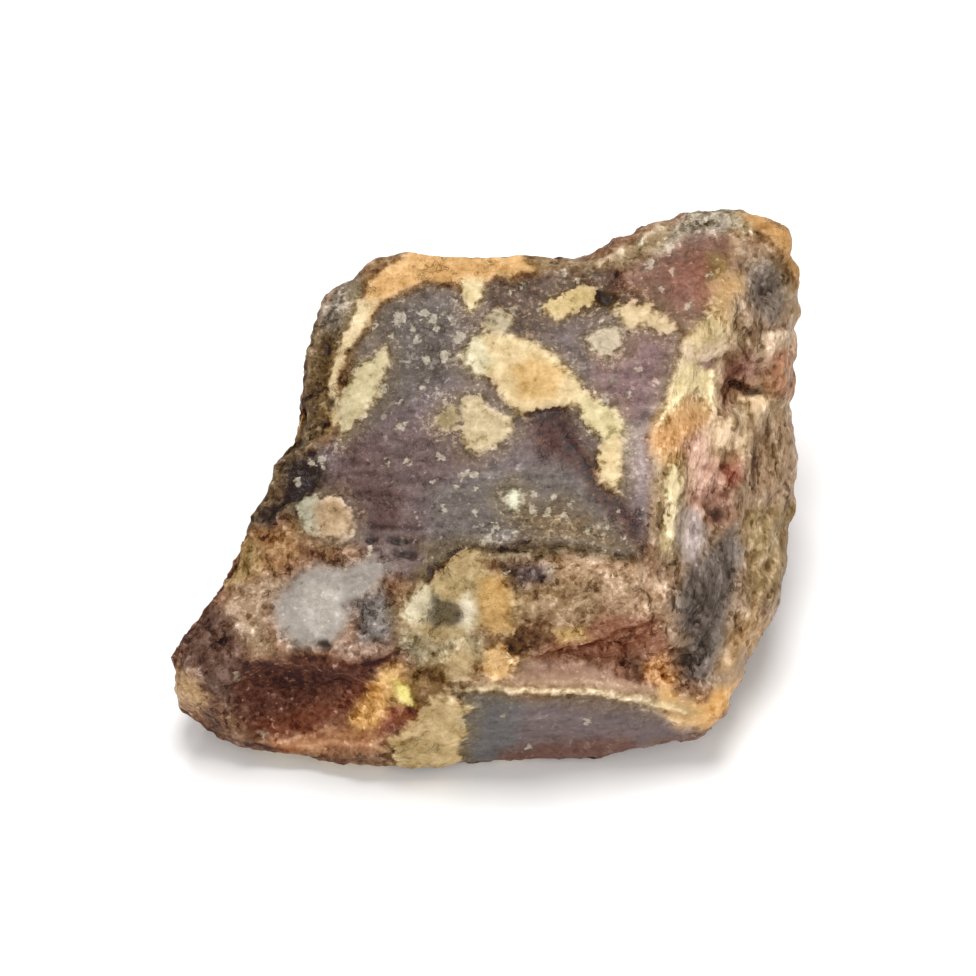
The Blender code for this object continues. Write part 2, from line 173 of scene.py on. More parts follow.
# The ground. Where the lump broke it is clean resin, plum, grey and cherry red, and elsewhere a brown crust
# of sand and weathered resin. The zones lie one over another in this order. Each has its colour, how softly
# it ends in millimetres, and its outline as it lies in front of the eye.
GROUND = {
    "main face": ((105, 88, 86), 0.8, [(-11.6, 16.5), (-10.3, 18.4), (-8.1, 19.4), (-6, 20.5), (-3.7, 20),
        (-1.7, 19.2), (0, 20.7), (4.3, 20.9), (7.4, 21.7), (12.6, 21.3), (16.9, 18.2), (19.4, 15.9),
        (18.8, 12.4), (18.2, 9.9), (16.9, 8.1), (15.9, 6.2), (15.7, 1), (16.1, -3.1), (14.9, -6.8),
        (12.6, -6.8), (9.5, -5.8), (5.4, -5.2), (1.2, -5.6), (-1.2, -6.2), (-3.9, -7.2), (-6, -8.3),
        (-7.6, -9.3), (-9.9, -6.8), (-12.2, -5.6), (-16.3, -5.2), (-18.2, -3.1), (-19.8, -2.5), (-18.4, 1),
        (-16.7, 4.1), (-14.9, 5.6), (-14.1, 9.3), (-13.6, 12.4), (-12.4, 14.5)]),
    "face, speckled top": ((78, 53, 36), 1, [(-0.4, 20.5), (4.3, 21.1), (9.5, 21.7), (13.2, 21.1),
        (15.7, 18.4), (13.2, 17.6), (9.5, 17.2), (5.8, 16.7), (4.3, 14.9), (2.1, 15.9), (0, 18.6)]),
    "face, grey left": ((79, 66, 57), 1.5, [(-10.7, 17.6), (-7, 19.6), (-3.3, 18.6), (-2.5, 11.4),
        (-7, 9.3), (-11.2, 6.2), (-12.2, 9.3), (-9.9, 11.4), (-9.5, 14.5), (-13.2, 13.8)]),
    "face, plum middle": ((94, 70, 65), 2, [(-9.1, 6.8), (-2.9, 6.2), (-0.8, 2.1), (-6, 0), (-9.1, -5.2),
        (-13.2, -4.1), (-16.3, 1), (-13.2, 4.8)]),
    "face, grey low": ((101, 90, 82), 1.5, [(-6, 0), (1.2, 2.1), (7.4, 2.1), (12.6, -2.1), (13.6, -5.6),
        (3.3, -5.2), (-2.9, -6.2), (-6.6, -7.6), (-5.4, -4.1)]),
    "face, under the patch": ((70, 37, 26), 1, [(3.3, 7.6), (7.4, 8.1), (8.9, 4.8), (11.6, 1), (14.9, -3.5),
        (14.7, -6.2), (12.6, -3.1), (8.5, 2.1), (5, 4.1)]),
    "face, right": ((122, 92, 89), 1, [(10.5, 13.4), (13.6, 15.9), (17.8, 15.9), (18.8, 13.4), (16.9, 8.7),
        (15.3, 6.8), (12.6, 6.8), (10.5, 9.3)]),
    "face, lilac strip": ((153, 133, 131), 0.6, [(13.4, 6.2), (16.3, 6), (16.9, 1), (16.3, -2.1),
        (14.3, -1), (13.4, 2.1)]),
    "face, olive right": ((99, 75, 42), 2.2, [(3.3, -2.7), (7.4, -1.4), (9.9, -2.5), (13.2, -4.8),
        (14.9, -6.4), (11.6, -6.4), (7.4, -5.6), (4.1, -5.2)]),
    "face, hem": ((102, 84, 59), 0.8, [(-9.1, -4.8), (-2.9, -5.6), (3.3, -5.2), (9.5, -4.8), (14.9, -6.4),
        (13.6, -8.3), (7.4, -6.8), (2.3, -7.2), (-2.9, -6.8), (-6.6, -9.3), (-8.1, -8.1)]),
    "face, pitted corner": ((106, 86, 80), 0.8, [(-13.6, -4.1), (-7, -4.8), (-6.6, -7.2), (-9.1, -9.3),
        (-12.2, -6.2)]),
    "shoulder": ((112, 74, 54), 0.6, [(12.6, 19.6), (14.1, 21.7), (16.9, 23.8), (19.8, 25.4), (24, 26.3),
        (26, 24.2), (25.2, 20.7), (22.3, 17.2), (20.9, 15.5), (19, 15.1), (16.9, 17.6)]),
    "shoulder, red": ((130, 80, 57), 1.2, [(17.8, 21.7), (21.9, 23.8), (22.5, 19.6), (21.9, 17.2),
        (19.4, 17.6), (17.8, 19.2)]),
    "shoulder, olive": ((134, 106, 59), 0.6, [(21.9, 23.4), (24, 22.9), (24, 20.7), (21.9, 20)]),
    "shoulder, top rim": ((157, 144, 125), 0.6, [(14.9, 23.4), (17.8, 25.8), (20.9, 27.9), (25, 28.3),
        (26.9, 25.4), (24, 25.4), (19.8, 25), (16.9, 23.4)]),
    "shoulder, left rim": ((133, 111, 80), 0.5, [(3.3, 22.9), (11.6, 22.5), (15.7, 25.4), (18.2, 27.5),
        (17.4, 24.2), (14.1, 21.7), (10.5, 21.5), (4.3, 21.7)]),
    "shoulder, edge": ((162, 129, 95), 0.5, [(24, 25.8), (25.6, 25.4), (26.5, 22.5), (25.6, 20.9),
        (24.4, 22.9)]),
    "corner crust": ((116, 104, 90), 0.6, [(-17.8, 15.1), (-16.9, 18), (-14.9, 20), (-12.8, 21.7),
        (-12.4, 18.6), (-13.6, 15.9), (-15.3, 13.8)]),
    "left rim": ((88, 67, 39), 0.6, [(-19.4, 9.3), (-18.4, 13.4), (-17.2, 16.5), (-15.3, 15.1),
        (-15.7, 9.3), (-15.7, 6.2), (-17.4, 3.5), (-19.8, 1), (-21.9, -2.1), (-23.6, -4.8), (-25.2, -4.8),
        (-22.7, 0), (-19.8, 4.8)]),
    "left, black notch": ((30, 20, 12), 0.5, [(-19.8, 2.1), (-16.9, 3.5), (-16.5, 0), (-18.6, -1.4),
        (-20.7, -2.7), (-21.9, -4.1), (-23.6, -3.5), (-20.5, -0.6)]),
    "left, orange foot": ((135, 97, 60), 1, [(-23.2, -4.1), (-19.4, -4.1), (-18.4, -6.2), (-20.5, -8.3),
        (-23.6, -9.3), (-25.2, -8.9), (-24.4, -6.2)]),
    "left, golden edge": ((158, 131, 88), 0.6, [(-26, -9.7), (-24.8, -6.2), (-23.2, -5.2), (-22.3, -7.6),
        (-24.4, -9.7)]),
    "nose, tan bridge": ((150, 123, 97), 1, [(-27.7, -13.8), (-25.2, -10.3), (-21.9, -8.3), (-19.8, -9.3),
        (-21.5, -11.4), (-21.9, -14.5), (-20.5, -17.2), (-23.6, -16.5), (-26, -15.1)]),
    "nose, dark end": ((93, 66, 53), 1.2, [(-31, -15.1), (-28.1, -11.4), (-26, -12.4), (-24.6, -15.5),
        (-24, -18.6), (-25.2, -21.7), (-27.7, -21.3), (-30.6, -18.6)]),
    "nose, polished": ((162, 151, 141), 0.9, [(-21.5, -11.4), (-19.4, -8.9), (-16.9, -7.2), (-14.3, -7.6),
        (-11.2, -6.4), (-9.5, -7.6), (-10.7, -9.7), (-13.2, -11.4), (-14.1, -13.8), (-15.7, -15.9),
        (-19, -15.9), (-21.1, -13.8)]),
    "nose, polished core": ((184, 175, 163), 0.8, [(-18.2, -9.3), (-14.9, -9.3), (-14.5, -12.4),
        (-16.5, -14.5), (-18.2, -12.6)]),
    "nose, tip": ((163, 130, 92), 0.5, [(-31.8, -18), (-29.4, -18.6), (-27.7, -21.3), (-28.7, -22.1),
        (-31.4, -21.3)]),
    "nose, pink brow": ((166, 137, 119), 0.5, [(-16.3, -15.9), (-13.2, -14.5), (-9.1, -15.1), (-9.9, -16.7),
        (-14.3, -17.4)]),
    "nose, grey specks": ((115, 106, 100), 0.5, [(-13.2, -10.7), (-10.3, -10.1), (-9.1, -12.6),
        (-9.9, -15.1), (-12.8, -15.1)]),
    "hollow": ((92, 52, 36), 0.6, [(-25.4, -20), (-24.4, -18), (-22.5, -17.4), (-19.4, -16.7),
        (-16.7, -17.2), (-14.3, -17.4), (-12.2, -17.2), (-9.5, -16.7), (-11.6, -18.8), (-12.4, -20.9),
        (-14.9, -22.5), (-17.8, -24.2), (-20.7, -24.6), (-23.6, -24.2), (-25.2, -22.1)]),
    # Painted light in the hollow: a painted red glow of light through the amber along its floor, and a
    # painted shade under its lip at the top.
    "hollow, painted glow": ((113, 60, 36), 1.2, [(-23.2, -23.4), (-18.4, -21.7), (-14.9, -20.9), (-12.4, -19.2),
        (-12.2, -21.3), (-14.9, -23.4), (-18.2, -24.6), (-21.5, -25)]),
    "hollow, shade": ((66, 29, 14), 1.2, [(-23.6, -18.2), (-19.8, -17.4), (-16.3, -17.4), (-13.8, -17.8),
        (-15.3, -19.2), (-19.8, -19.6), (-23.2, -19.8)]),
    "jaw": ((186, 129, 87), 0.8, [(-23.2, -25.4), (-17.4, -24.2), (-12.2, -23.4), (-7.9, -23.4),
        (-7.4, -25), (-11.2, -26.3), (-17.4, -26.3), (-20.5, -26.5)]),
    "jaw, brown": ((123, 54, 30), 0.6, [(-11.2, -23.6), (-9.9, -21.9), (-8.5, -20.9), (-6.8, -21.7),
        (-5.6, -22.7), (-7.4, -24.4), (-10.3, -25.4)]),
    "chin": ((92, 60, 40), 0.8, [(-28.1, -22.7), (-25.2, -24.2), (-21.5, -25.8), (-23.6, -26.7),
        (-27.3, -25.4), (-28.9, -23.8)]),
    # A painted golden glow of light through the thin amber at the hollow's right end.
    "hollow, gold end, painted glow": ((210, 155, 87), 0.5, [(-13.2, -21.3), (-11.6, -19.6), (-9.9, -17.6), (-8.5, -17.8),
        (-7.4, -19.2), (-8.3, -20.7), (-9.5, -21.5), (-10.3, -22.7), (-11.2, -23.8), (-13.2, -24.2),
        (-14.1, -23.2)]),
    "under the front patch": ((120, 90, 51), 0.6, [(-7.9, -18), (-4.5, -17.2), (-3.7, -19.2), (-5.8, -20),
        (-7.4, -20)]),
    "front, grey green": ((161, 147, 119), 0.6, [(-9.1, -13.8), (-5.8, -13.8), (-2.1, -13.4), (-0.4, -15.1),
        (0, -17.2), (-3.7, -17.6), (-6.6, -18), (-9.1, -15.9)]),
    "band": ((177, 145, 115), 1, [(1.7, -8.3), (7.4, -6.8), (14.9, -7.2), (18.2, -9.3), (18.2, -13.8),
        (13.6, -13.8), (7.4, -14.5), (3.3, -13.8), (1.7, -11.4)]),
    "band, golden left": ((143, 115, 83), 2, [(2.1, -11), (5, -8.5), (9.5, -8.1), (11.2, -10.5), (9.5, -13),
        (4.3, -13.4)]),
    "band, dark chip": ((71, 55, 51), 0.5, [(1.2, -7.6), (5.8, -7.6), (6.2, -9.3), (2.9, -10.1)]),
    "band, brown left": ((88, 56, 28), 0.6, [(1.7, -12.6), (5.8, -13), (6.2, -15.5), (3.3, -16.7),
        (1.7, -15.1)]),
    "band, rust": ((139, 93, 69), 0.6, [(6.4, -15.1), (11.6, -13), (16.9, -12.6), (18.6, -15.5),
        (17.4, -18.8), (13.2, -18.6), (9.5, -17.2), (5, -17.4)]),
    "band, yellow chip": ((192, 156, 98), 0.5, [(6.4, -13.8), (9.5, -13.8), (9.9, -15.1), (7, -15.5)]),
    "band, hollow end": ((75, 43, 24), 0.5, [(13.2, -16.7), (15.7, -16.7), (16.1, -18.8), (13.6, -19.2)]),
    "ledge": ((178, 137, 114), 0.5, [(-2.9, -19.6), (1.7, -18.4), (3.3, -17.4), (9.5, -17.6), (14.9, -18.8),
        (18.2, -20), (19.4, -21.7), (15.7, -21.3), (11.6, -20.7), (3.3, -20.3), (-0.8, -20)]),
    "lens": ((112, 95, 93), 0.4, [(-2.9, -20.3), (0.2, -20), (3.3, -20.7), (9.5, -20.7), (14.9, -21.5),
        (18.8, -22.3), (23.2, -23.4), (21.9, -24.6), (16.1, -25.4), (14.1, -27.1), (7.4, -27.9),
        (1.2, -28.7), (-3.7, -28.7), (-4.1, -25.4), (-2.9, -23.8), (-3.3, -21.7)]),
    "lens, grey end": ((98, 93, 91), 1.2, [(-2.9, -20.3), (1.2, -20.3), (3.3, -21.7), (2.5, -27.5),
        (-3.7, -28.3)]),
    # A painted reddish reflection along the lens's lower edge.
    "lens, red hem, painted reflection": ((111, 77, 65), 0.5, [(1.2, -26.3), (5.4, -25.4), (14.1, -24.8), (14.9, -26.7),
        (7.4, -28.3), (1.2, -28.7)]),
    # The toe's orange is partly its own thin amber and partly painted glow of light through it, brightest
    # above.
    "toe": ((225, 170, 102), 0.6, [(17.4, -19.2), (19.4, -20.9), (21.9, -20.9), (23.6, -18), (24.8, -15.5),
        (26, -18.4), (24.4, -22.5), (21.9, -24.2), (19, -23.8), (16.9, -21.7)]),
    "toe, upper, painted glow": ((240, 184, 132), 0.6, [(15.7, -17.2), (17.8, -16.7), (19, -19.2), (17.4, -20),
        (15.7, -18.8)]),
    "flank": ((150, 124, 99), 0.8, [(19, 15.1), (21.9, 17.2), (24.4, 21.7), (25.6, 24.2), (28.5, 23.4),
        (32.2, 17.6), (32.2, -11.4), (26.9, -17.6), (24, -19.6), (20.9, -19.6), (18.2, -15.5), (18.2, -9.3),
        (16.1, -5.2), (15.9, 6.2), (17.8, 9.3)]),
    "flank, dark top": ((106, 92, 80), 0.7, [(26, 21.7), (27.7, 22.9), (29.4, 21.7), (29.8, 18.6),
        (28.9, 16.7), (26.9, 17.2), (25.8, 19.2)]),
    "flank, orange top": ((193, 153, 103), 0.4, [(22.3, 19.6), (23.2, 20.7), (25, 21.1), (25.2, 19.6),
        (24, 18.6), (23.6, 15.9), (22.3, 15.9)]),
    "flank, lilac dab": ((148, 112, 140), 0.4, [(20.3, 12.8), (22.3, 13.2), (22.3, 12), (20.5, 11.8)]),
    "flank, orange": ((193, 144, 94), 0.7, [(15.9, 4.8), (16.9, 7.6), (18.8, 9.3), (22.3, 8.5), (22.5, 4.8),
        (19.8, 3.5), (19, 1.4), (17.4, 1.9), (16.3, 3.5)]),
    "flank, pink": ((213, 170, 148), 0.8, [(19.4, 4.8), (22.7, 6.8), (23.4, 2.1), (23.6, -0.6),
        (21.9, -2.1), (19.8, -2.1), (19.2, 0.2)]),
    "flank, red spot": ((172, 110, 92), 0.4, [(22.9, 2.7), (23.6, 2.3), (24.4, 3.3), (25, 3.7), (25.4, 2.9),
        (24.8, 2.1), (25.2, 1.2), (24.4, 0.8), (23.6, 0.4), (23.4, 1.4)]),
    "flank, lilac low": ((172, 155, 149), 0.8, [(18.6, -1.7), (21.5, -2.1), (21.9, -5.2), (20.7, -8.1),
        (19, -7.2), (18.2, -4.8)]),
    "flank, brown hollow": ((169, 128, 111), 0.5, [(23.6, 13.4), (26.5, 13), (27.7, 11.4), (27.3, 9.3),
        (24.8, 9.3), (23.6, 6.8), (23.2, 10.1)]),
    "flank, pale right": ((174, 146, 118), 0.6, [(26.5, 15.9), (30.6, 15.9), (31, 14.3), (28.5, 13.4),
        (26.5, 13.4)]),
    "flank, rust right": ((155, 110, 81), 0.6, [(28.1, 13.4), (30.2, 13.4), (30.2, 9.3), (28.1, 8.9),
        (27.3, 10.5)]),
    "flank, tan right": ((154, 126, 98), 0.8, [(24.8, 6.8), (31, 8.5), (31, -1), (26.5, -0.6),
        (24.8, 3.1)]),
    "flank, olive low": ((126, 101, 65), 1, [(25.2, -2.3), (31, -1.4), (30.6, -8.3), (28.5, -11.8),
        (26, -11.4), (25.6, -6.2)]),
    "flank, rust low": ((144, 106, 86), 0.5, [(21.3, 0), (22.3, -0.4), (23.2, 0.2), (24, -1), (24.4, -3.1),
        (23.2, -3.5), (21.9, -3.3), (21.5, -2.1), (20.7, -1.4)]),
    "flank, grey low": ((104, 92, 83), 0.8, [(19.8, -8.1), (22.3, -6.2), (24.4, -3.5), (25.2, -6.2),
        (24, -11.4), (23.6, -15.9), (21.9, -19.2), (19.4, -18.8), (19.8, -14.5), (18.6, -11.4)]),
    "flank, tan low": ((167, 134, 96), 0.6, [(24, -13.8), (26.5, -11.4), (28.1, -13.8), (26, -17.2),
        (24, -19.2), (22.9, -17.6)]),
}
GLOSSY = ("main face", "shoulder", "lens", "ledge", "nose, polished", "toe", "jaw")
CALM = ("lens", "ledge", "toe", "nose, polished")
GRITTY = ("left rim", "corner crust", "shoulder, top rim", "face, pitted corner", "band, brown left")
CRUST_COLOUR = (124, 90, 66)
TINGE_SOFTNESS = 0.9
FAR_OUT = -6.0
HIDDEN_FROM = (-0.5, -0.1)
OUTLINE_WANDER = ((5.0, 0.45), (1.6, 0.25))
STRAY_WAVELENGTH = 3.0
STRAY_REACH = 2.6
FRAY_WAVELENGTH = 1.6
FRAY_KINDS = 5


def shifted(points, wavelength, seed):
    """The points counted in wavelengths of a noise, in a part of it that each seed has to itself."""
    shift = Vector((17.0 * seed, 3.1 * seed, 5.7 * seed))
    return [Vector(point) / wavelength + shift for point in points]


def drift(points, wavelength, seed):
    """Smooth noise at each point, about -1 to 1."""
    return np.array([noise.noise(p) for p in shifted(points, wavelength, seed)])


def fractal(points, wavelength, octaves, seed):
    """Rough noise at each point, about -1 to 1, with finer octaves laid on it."""
    return np.array([noise.fractal(p, 1.0, 2.0, octaves) for p in shifted(points, wavelength, seed)])


def smooth_step(value, start, end):
    """0 up to the start and 1 from the end on, with a smooth rise between."""
    t = np.clip((value - start) / (end - start), 0, 1)
    return t * t * (3 - 2 * t)


def nearest_gap(marks, spot):
    """How far each place is from a line of marks, in millimetres."""
    nearest = np.full(len(place), FAR_OFF)
    for gap, along in stretches(marks, *spot):
        nearest = np.minimum(nearest, gap)
    return nearest


def depth_inside(outline, spot):
    """How far inside an outline each place is, in millimetres, and negative outside it."""
    across, upward = spot
    closed = outline + outline[:1]
    inside = np.zeros(len(place), bool)
    for (x0, y0), (x1, y1) in zip(closed, closed[1:]):
        if y0 != y1:
            crosses = (upward < y0) != (upward < y1)
            inside ^= crosses & (across < x0 + (x1 - x0) * (upward - y0) / (y1 - y0))
    nearest = nearest_gap(closed, spot)
    return np.where(inside, nearest, -nearest)


across, upward = in_view(place)
for seed, (wavelength, reach) in enumerate(OUTLINE_WANDER):
    across = across + reach * drift(place, wavelength, 2 * seed)
    upward = upward + reach * drift(place, wavelength, 2 * seed + 1)
here = (across, upward)
strayed = (across + STRAY_REACH * drift(place, STRAY_WAVELENGTH, 41),
           upward + STRAY_REACH * drift(place, STRAY_WAVELENGTH, 42))
hidden = 1 - smooth_step(outward @ TO_EYE, *HIDDEN_FROM)


def showing(depth):
    """A depth kept on the side that shows, and far out on the hidden side."""
    return depth + (FAR_OUT - depth) * hidden


def seen_depth(*outlines, spot=here):
    """The depth inside the nearest of some outlines, on the side that shows."""
    depth = np.full(len(place), FAR_OUT)
    for outline in outlines:
        depth = np.maximum(depth, depth_inside(outline, spot))
    return showing(depth)


def ground_depth(*names):
    """The depth inside the nearest of some zones of the ground."""
    return seen_depth(*(GROUND[name][2] for name in names))


def split(colour):
    """A colour's tone, which is how light it is, and its tinge, which is what is left without the tone."""
    levels = np.array(colour) / 255
    return levels.mean(), levels - levels.mean()


def toward(value, goal, share):
    """A value at every place, moved toward a goal by a share of the way."""
    return value + (goal - value) * (share if np.ndim(value) == 1 else share[:, None])


tone = np.full(len(place), split(CRUST_COLOUR)[0])
tinge = np.tile(split(CRUST_COLOUR)[1], (len(place), 1))
strayed_tone = tone
frays = [fractal(place, FRAY_WAVELENGTH, 3, 30 + kind) for kind in range(FRAY_KINDS)]
for count, (colour, softness, outline) in enumerate(GROUND.values()):
    zone_tone, zone_tinge = split(colour)
    depth = seen_depth(outline)
    wide = max(softness, TINGE_SOFTNESS)
    tone = toward(tone, zone_tone, smooth_step(depth + frays[count % FRAY_KINDS], -softness, softness))
    tinge = toward(tinge, zone_tinge, smooth_step(depth, -wide, wide))
    strayed_share = smooth_step(seen_depth(outline, spot=strayed), -softness, softness)
    strayed_tone = toward(strayed_tone, zone_tone, strayed_share)
fields = {
    "clean": ground_depth(*GLOSSY),
    "cherry": ground_depth("hollow"),
    "flank": ground_depth("flank"),
    "calm": ground_depth(*CALM),
    "gritty": ground_depth(*GRITTY),
}


# The hidden side. A clean shell-shaped break takes up the back, dark as the main face but warmer, and the
# rest is the same crust, with rusty stains.
BREAK_COLOUR = (80, 44, 38)
BREAK_FACING = (0.45, 0.75)
STAIN_COLOUR = (112, 62, 40)
to_the_back = smooth_step(outward[:, 1], *BREAK_FACING) - 0.5
broken = np.where(hidden > 0.5, 4.0 * to_the_back + 1.5 * fractal(place, 9, 2, 5), FAR_OUT)
stained = 0.7 * hidden * smooth_step(fractal(place, 11, 2, 19), 0.1, 0.5)
fields["clean"] = np.maximum(fields["clean"], broken)
for colour, share in ((BREAK_COLOUR, smooth_step(broken, -0.4, 0.4)), (STAIN_COLOUR, stained)):
    zone_tone, zone_tinge = split(colour)
    tone = toward(tone, zone_tone, share)
    tinge = toward(tinge, zone_tinge, share)
    strayed_tone = toward(strayed_tone, zone_tone, share)
fields["tone"] = tone
fields["strayed_tone"] = strayed_tone


# The rinds. Thin cream and orange crusts cling to the clean faces and run along the edges. Some hold
# painted
# light: the orange of the top rim and of the rim at the corner is partly their own amber and partly painted
# glow of light through the thin rims, the line along the ledge's edge is a painted highlight, and the glint
# is a painted glint by the hollow. They lie on the ground, one over another in this order, each with its
# colour and its outline. The neat ones end sharply.
PATCH = {
    # The top rim's orange is partly its own amber and partly painted glow of light through the thin rim.
    "top rim": ((216, 169, 111), [(-12.4, 17.2), (-11.8, 20), (-10.3, 21.7), (-7.9, 23.4), (-5, 24.6),
        (-2.1, 24.6), (0, 23.4), (3.3, 23.4), (4.5, 21.7), (0.8, 21.3), (-1.7, 19.6), (-3.3, 20),
        (-6, 20.7), (-8.3, 19.6), (-10.3, 18.4), (-11.8, 15.9)]),
    "left rim line": ((218, 194, 150), [(-11.6, 18), (-10.7, 18.6), (-12.4, 15.1), (-14.1, 13.4),
        (-14.9, 11.4), (-14.7, 6.4), (-15.7, 6.4), (-15.7, 11.4), (-14.9, 13.8), (-13.6, 15.9),
        (-13, 18.6)]),
    "top drip": ((218, 197, 149), [(-2.5, 20.5), (-0.8, 20.5), (-0.6, 19.2), (-0.8, 18), (-2.1, 17.4),
        (-2.7, 19.2)]),
    "neck": ((166, 152, 123), [(0, 17.6), (1.7, 17.8), (2.7, 16.1), (0.8, 15.3), (-0.8, 15.9)]),
    "centre": ((204, 180, 135), [(-2.3, 13.2), (-1.7, 15.1), (-0.4, 15.7), (2.5, 15.3), (4.3, 14.5),
        (6.2, 13.4), (7.9, 11.8), (9.5, 10.1), (11.2, 8.9), (12.8, 7.2), (13.6, 4.8), (13.4, 1),
        (12.8, -0.6), (11.4, 0.4), (10.7, 2.5), (11.2, 4.8), (10.1, 6.8), (8.7, 8.1), (5.8, 8.1),
        (3.3, 7.2), (1.2, 9.1), (0.6, 10.5), (-1.2, 11.6)]),
    "centre, pale side": ((196, 184, 149), [(-2.7, 13.2), (-1.2, 15.5), (0.4, 12.6), (-1.2, 11)]),
    "centre, orange heart": ((194, 158, 103), [(2.5, 11.8), (4.5, 12.8), (7.4, 11.2), (6.2, 8.9),
        (3.3, 9.1)]),
    "centre, yellow knee": ((204, 188, 143), [(9.1, 9.3), (12.6, 8.1), (13.8, 5.2), (11.2, 4.8),
        (9.3, 7.2)]),
    "lobe": ((190, 171, 134), [(-2.5, 8.7), (-0.8, 9.3), (0.4, 7.6), (2.7, 7), (2.7, 5.6), (0.8, 4.3),
        (-0.8, 3.7), (-2.7, 3.5), (-2.5, 6)]),
    "crumb by the lobe": ((146, 128, 92), [(-5.2, 6.4), (-4.1, 8.1), (-2.7, 8.3), (-2.9, 6), (-4.5, 5.6)]),
    "top right": ((198, 174, 124), [(5.2, 17.6), (6.2, 18.8), (7.9, 19.6), (9.5, 20.3), (11, 19.6),
        (10.7, 18), (8.7, 17.6), (6.6, 16.9)]),
    "brow": ((193, 169, 129), [(12.4, 17.8), (14.1, 18.4), (16.1, 18.4), (17.4, 16.9), (18.8, 15.9),
        (17.4, 15.3), (15.7, 16.1), (14.1, 15.7), (13.2, 17.2)]),
    "round": ((189, 173, 147), [(9.9, 14.9), (11.8, 16.1), (13.8, 15.5), (13.4, 13.8), (11.8, 13),
        (10.3, 13.6)]),
    "left": ((183, 168, 130), [(-13.2, 12.6), (-11.2, 13.2), (-10.1, 14.5), (-9.5, 13), (-10.3, 11),
        (-11.2, 8.9), (-12.8, 6.8), (-14.5, 5), (-14.9, 7.2), (-14.3, 9.7)]),
    "nose root": ((167, 161, 139), [(-19.4, -1.7), (-17.8, -0.6), (-16.3, -1.2), (-16.3, -4.8),
        (-18, -4.1)]),
    "nose root, tan half": ((174, 147, 115), [(-16.3, -1), (-14.9, -0.8), (-13.6, -2.5), (-13.8, -4.3),
        (-16.5, -5), (-16.9, -2.3)]),
    "low spot": ((196, 193, 168), [(1.4, -0.8), (2.5, 0.2), (3.5, -0.6), (3.1, -2.1), (2.3, -2.5)]),
    "front": ((163, 139, 97), [(-7.9, -13.8), (-7.6, -11.4), (-6, -9.3), (-4.5, -8.1), (-2.5, -6.6),
        (-0.8, -6.2), (-0.4, -8.1), (1.7, -8.9), (2.1, -11.4), (1.2, -14.1), (-1.7, -13.8), (-2.5, -15.1),
        (-5.4, -15.1)]),
    "front, pale side": ((201, 187, 155), [(-8.9, -12.6), (-7.6, -10.5), (-6.2, -9.1), (-5.4, -11.4),
        (-5.8, -13.2), (-7.9, -13.6)]),
    "front, orange side": ((184, 144, 88), [(-0.8, -9.3), (1.2, -8.7), (2.7, -11.4), (2.3, -14.1),
        (0.4, -14.5), (-0.8, -12.2)]),
    "front, pit rim": ((224, 210, 181), [(-2.9, -11.2), (-2.1, -10.3), (-1.2, -12.2), (-1.9, -13.8),
        (-2.9, -13)]),
    "front, lower orange": ((220, 178, 122), [(-0.4, -16.3), (1.2, -15.3), (2.9, -17.2), (1.9, -18.6),
        (0.4, -19.4), (-0.8, -18)]),
    "front, crumbs": ((165, 139, 97), [(-4.3, -17.2), (-2.1, -15.7), (-0.8, -17.2), (-1.9, -19),
        (-3.9, -19.4)]),
    # A painted glint of light through the thin amber by the hollow.
    "glint": ((246, 230, 136), [(-9.3, -19), (-7.9, -19.6), (-7, -21.7), (-8.7, -21.1)]),
    "foot": ((185, 158, 111), [(-9.1, -27.9), (-9.9, -25.4), (-7.9, -23.4), (-6.2, -21.3), (-4.5, -20.5),
        (-2.9, -20.9), (-1.4, -21.7), (-2.5, -22.9), (-1.9, -24.2), (-2.9, -25.4), (-2.7, -27.1),
        (-4.5, -28.3), (-7, -28.7)]),
    # A painted highlight along the ledge's edge.
    "ledge edge, painted highlight": ((237, 214, 171), [(-4.5, -20.2), (-0.8, -19.7), (5.4, -19.8), (11.6, -20.4),
        (16.7, -21.3), (19.8, -22), (19.8, -22.4), (16.7, -21.8), (11.6, -20.8), (5.4, -20.3),
        (-0.8, -20.1)]),
    "flank, cream shelf": ((199, 175, 132), [(20.7, 15.9), (22.3, 17.4), (24, 15.9), (23.8, 14.3),
        (21.9, 13.4), (19.8, 13.4), (19.2, 14.7)]),
    "flank, white line": ((222, 195, 162), [(19.2, 14.7), (20.3, 13.4), (22.3, 13.8), (24.4, 14.5),
        (23.6, 13), (21.1, 12.6), (19.4, 11.2), (18.4, 11.2)]),
    "flank, cream": ((221, 199, 151), [(17.6, 8.9), (18.6, 11.8), (20.3, 12.6), (22.3, 11.4), (22.9, 7.2),
        (21.5, 8.7), (20.3, 9.7), (18.6, 8.3), (17.2, 7.2)]),
    "flank, low cream": ((217, 197, 152), [(17.8, -1), (17.5, 1), (17.8, 2.3), (18.8, 2.4), (19.2, 0.6),
        (19, -1.2), (18.4, -3.5), (18, -6.2), (17.6, -5.2), (17.6, -3.1)]),
    "flank, bit": ((228, 198, 163), [(22.5, 6), (24, 6.6), (25, 4.8), (24, 3.5), (22.9, 4.1)]),
    "flank, lower bits": ((198, 167, 128), [(25.2, 9.5), (27.3, 9.9), (28.1, 8.1), (26, 7.6)]),
    # The rim at the corner is orange partly from its own amber and partly from painted glow of light
    # through it.
    "corner rim, painted glow": ((191, 144, 88), [(25.2, 27.3), (26.7, 28.7), (28.9, 27.5), (31, 25), (32.7, 21.7),
        (33.1, 18.4), (31.4, 17.6), (31, 19.4), (30.4, 21.1), (29.8, 22.5), (28.7, 24.2), (27.1, 25.8)]),
}
NEAT = ("top rim", "left rim line", "ledge edge, painted highlight", "corner rim, painted glow", "glint", "flank, white line")
RIND_EDGE = (-0.9, 0.5)
HIDDEN_RIND_WAVELENGTH = 7
HIDDEN_RIND_LEVEL = 0.38
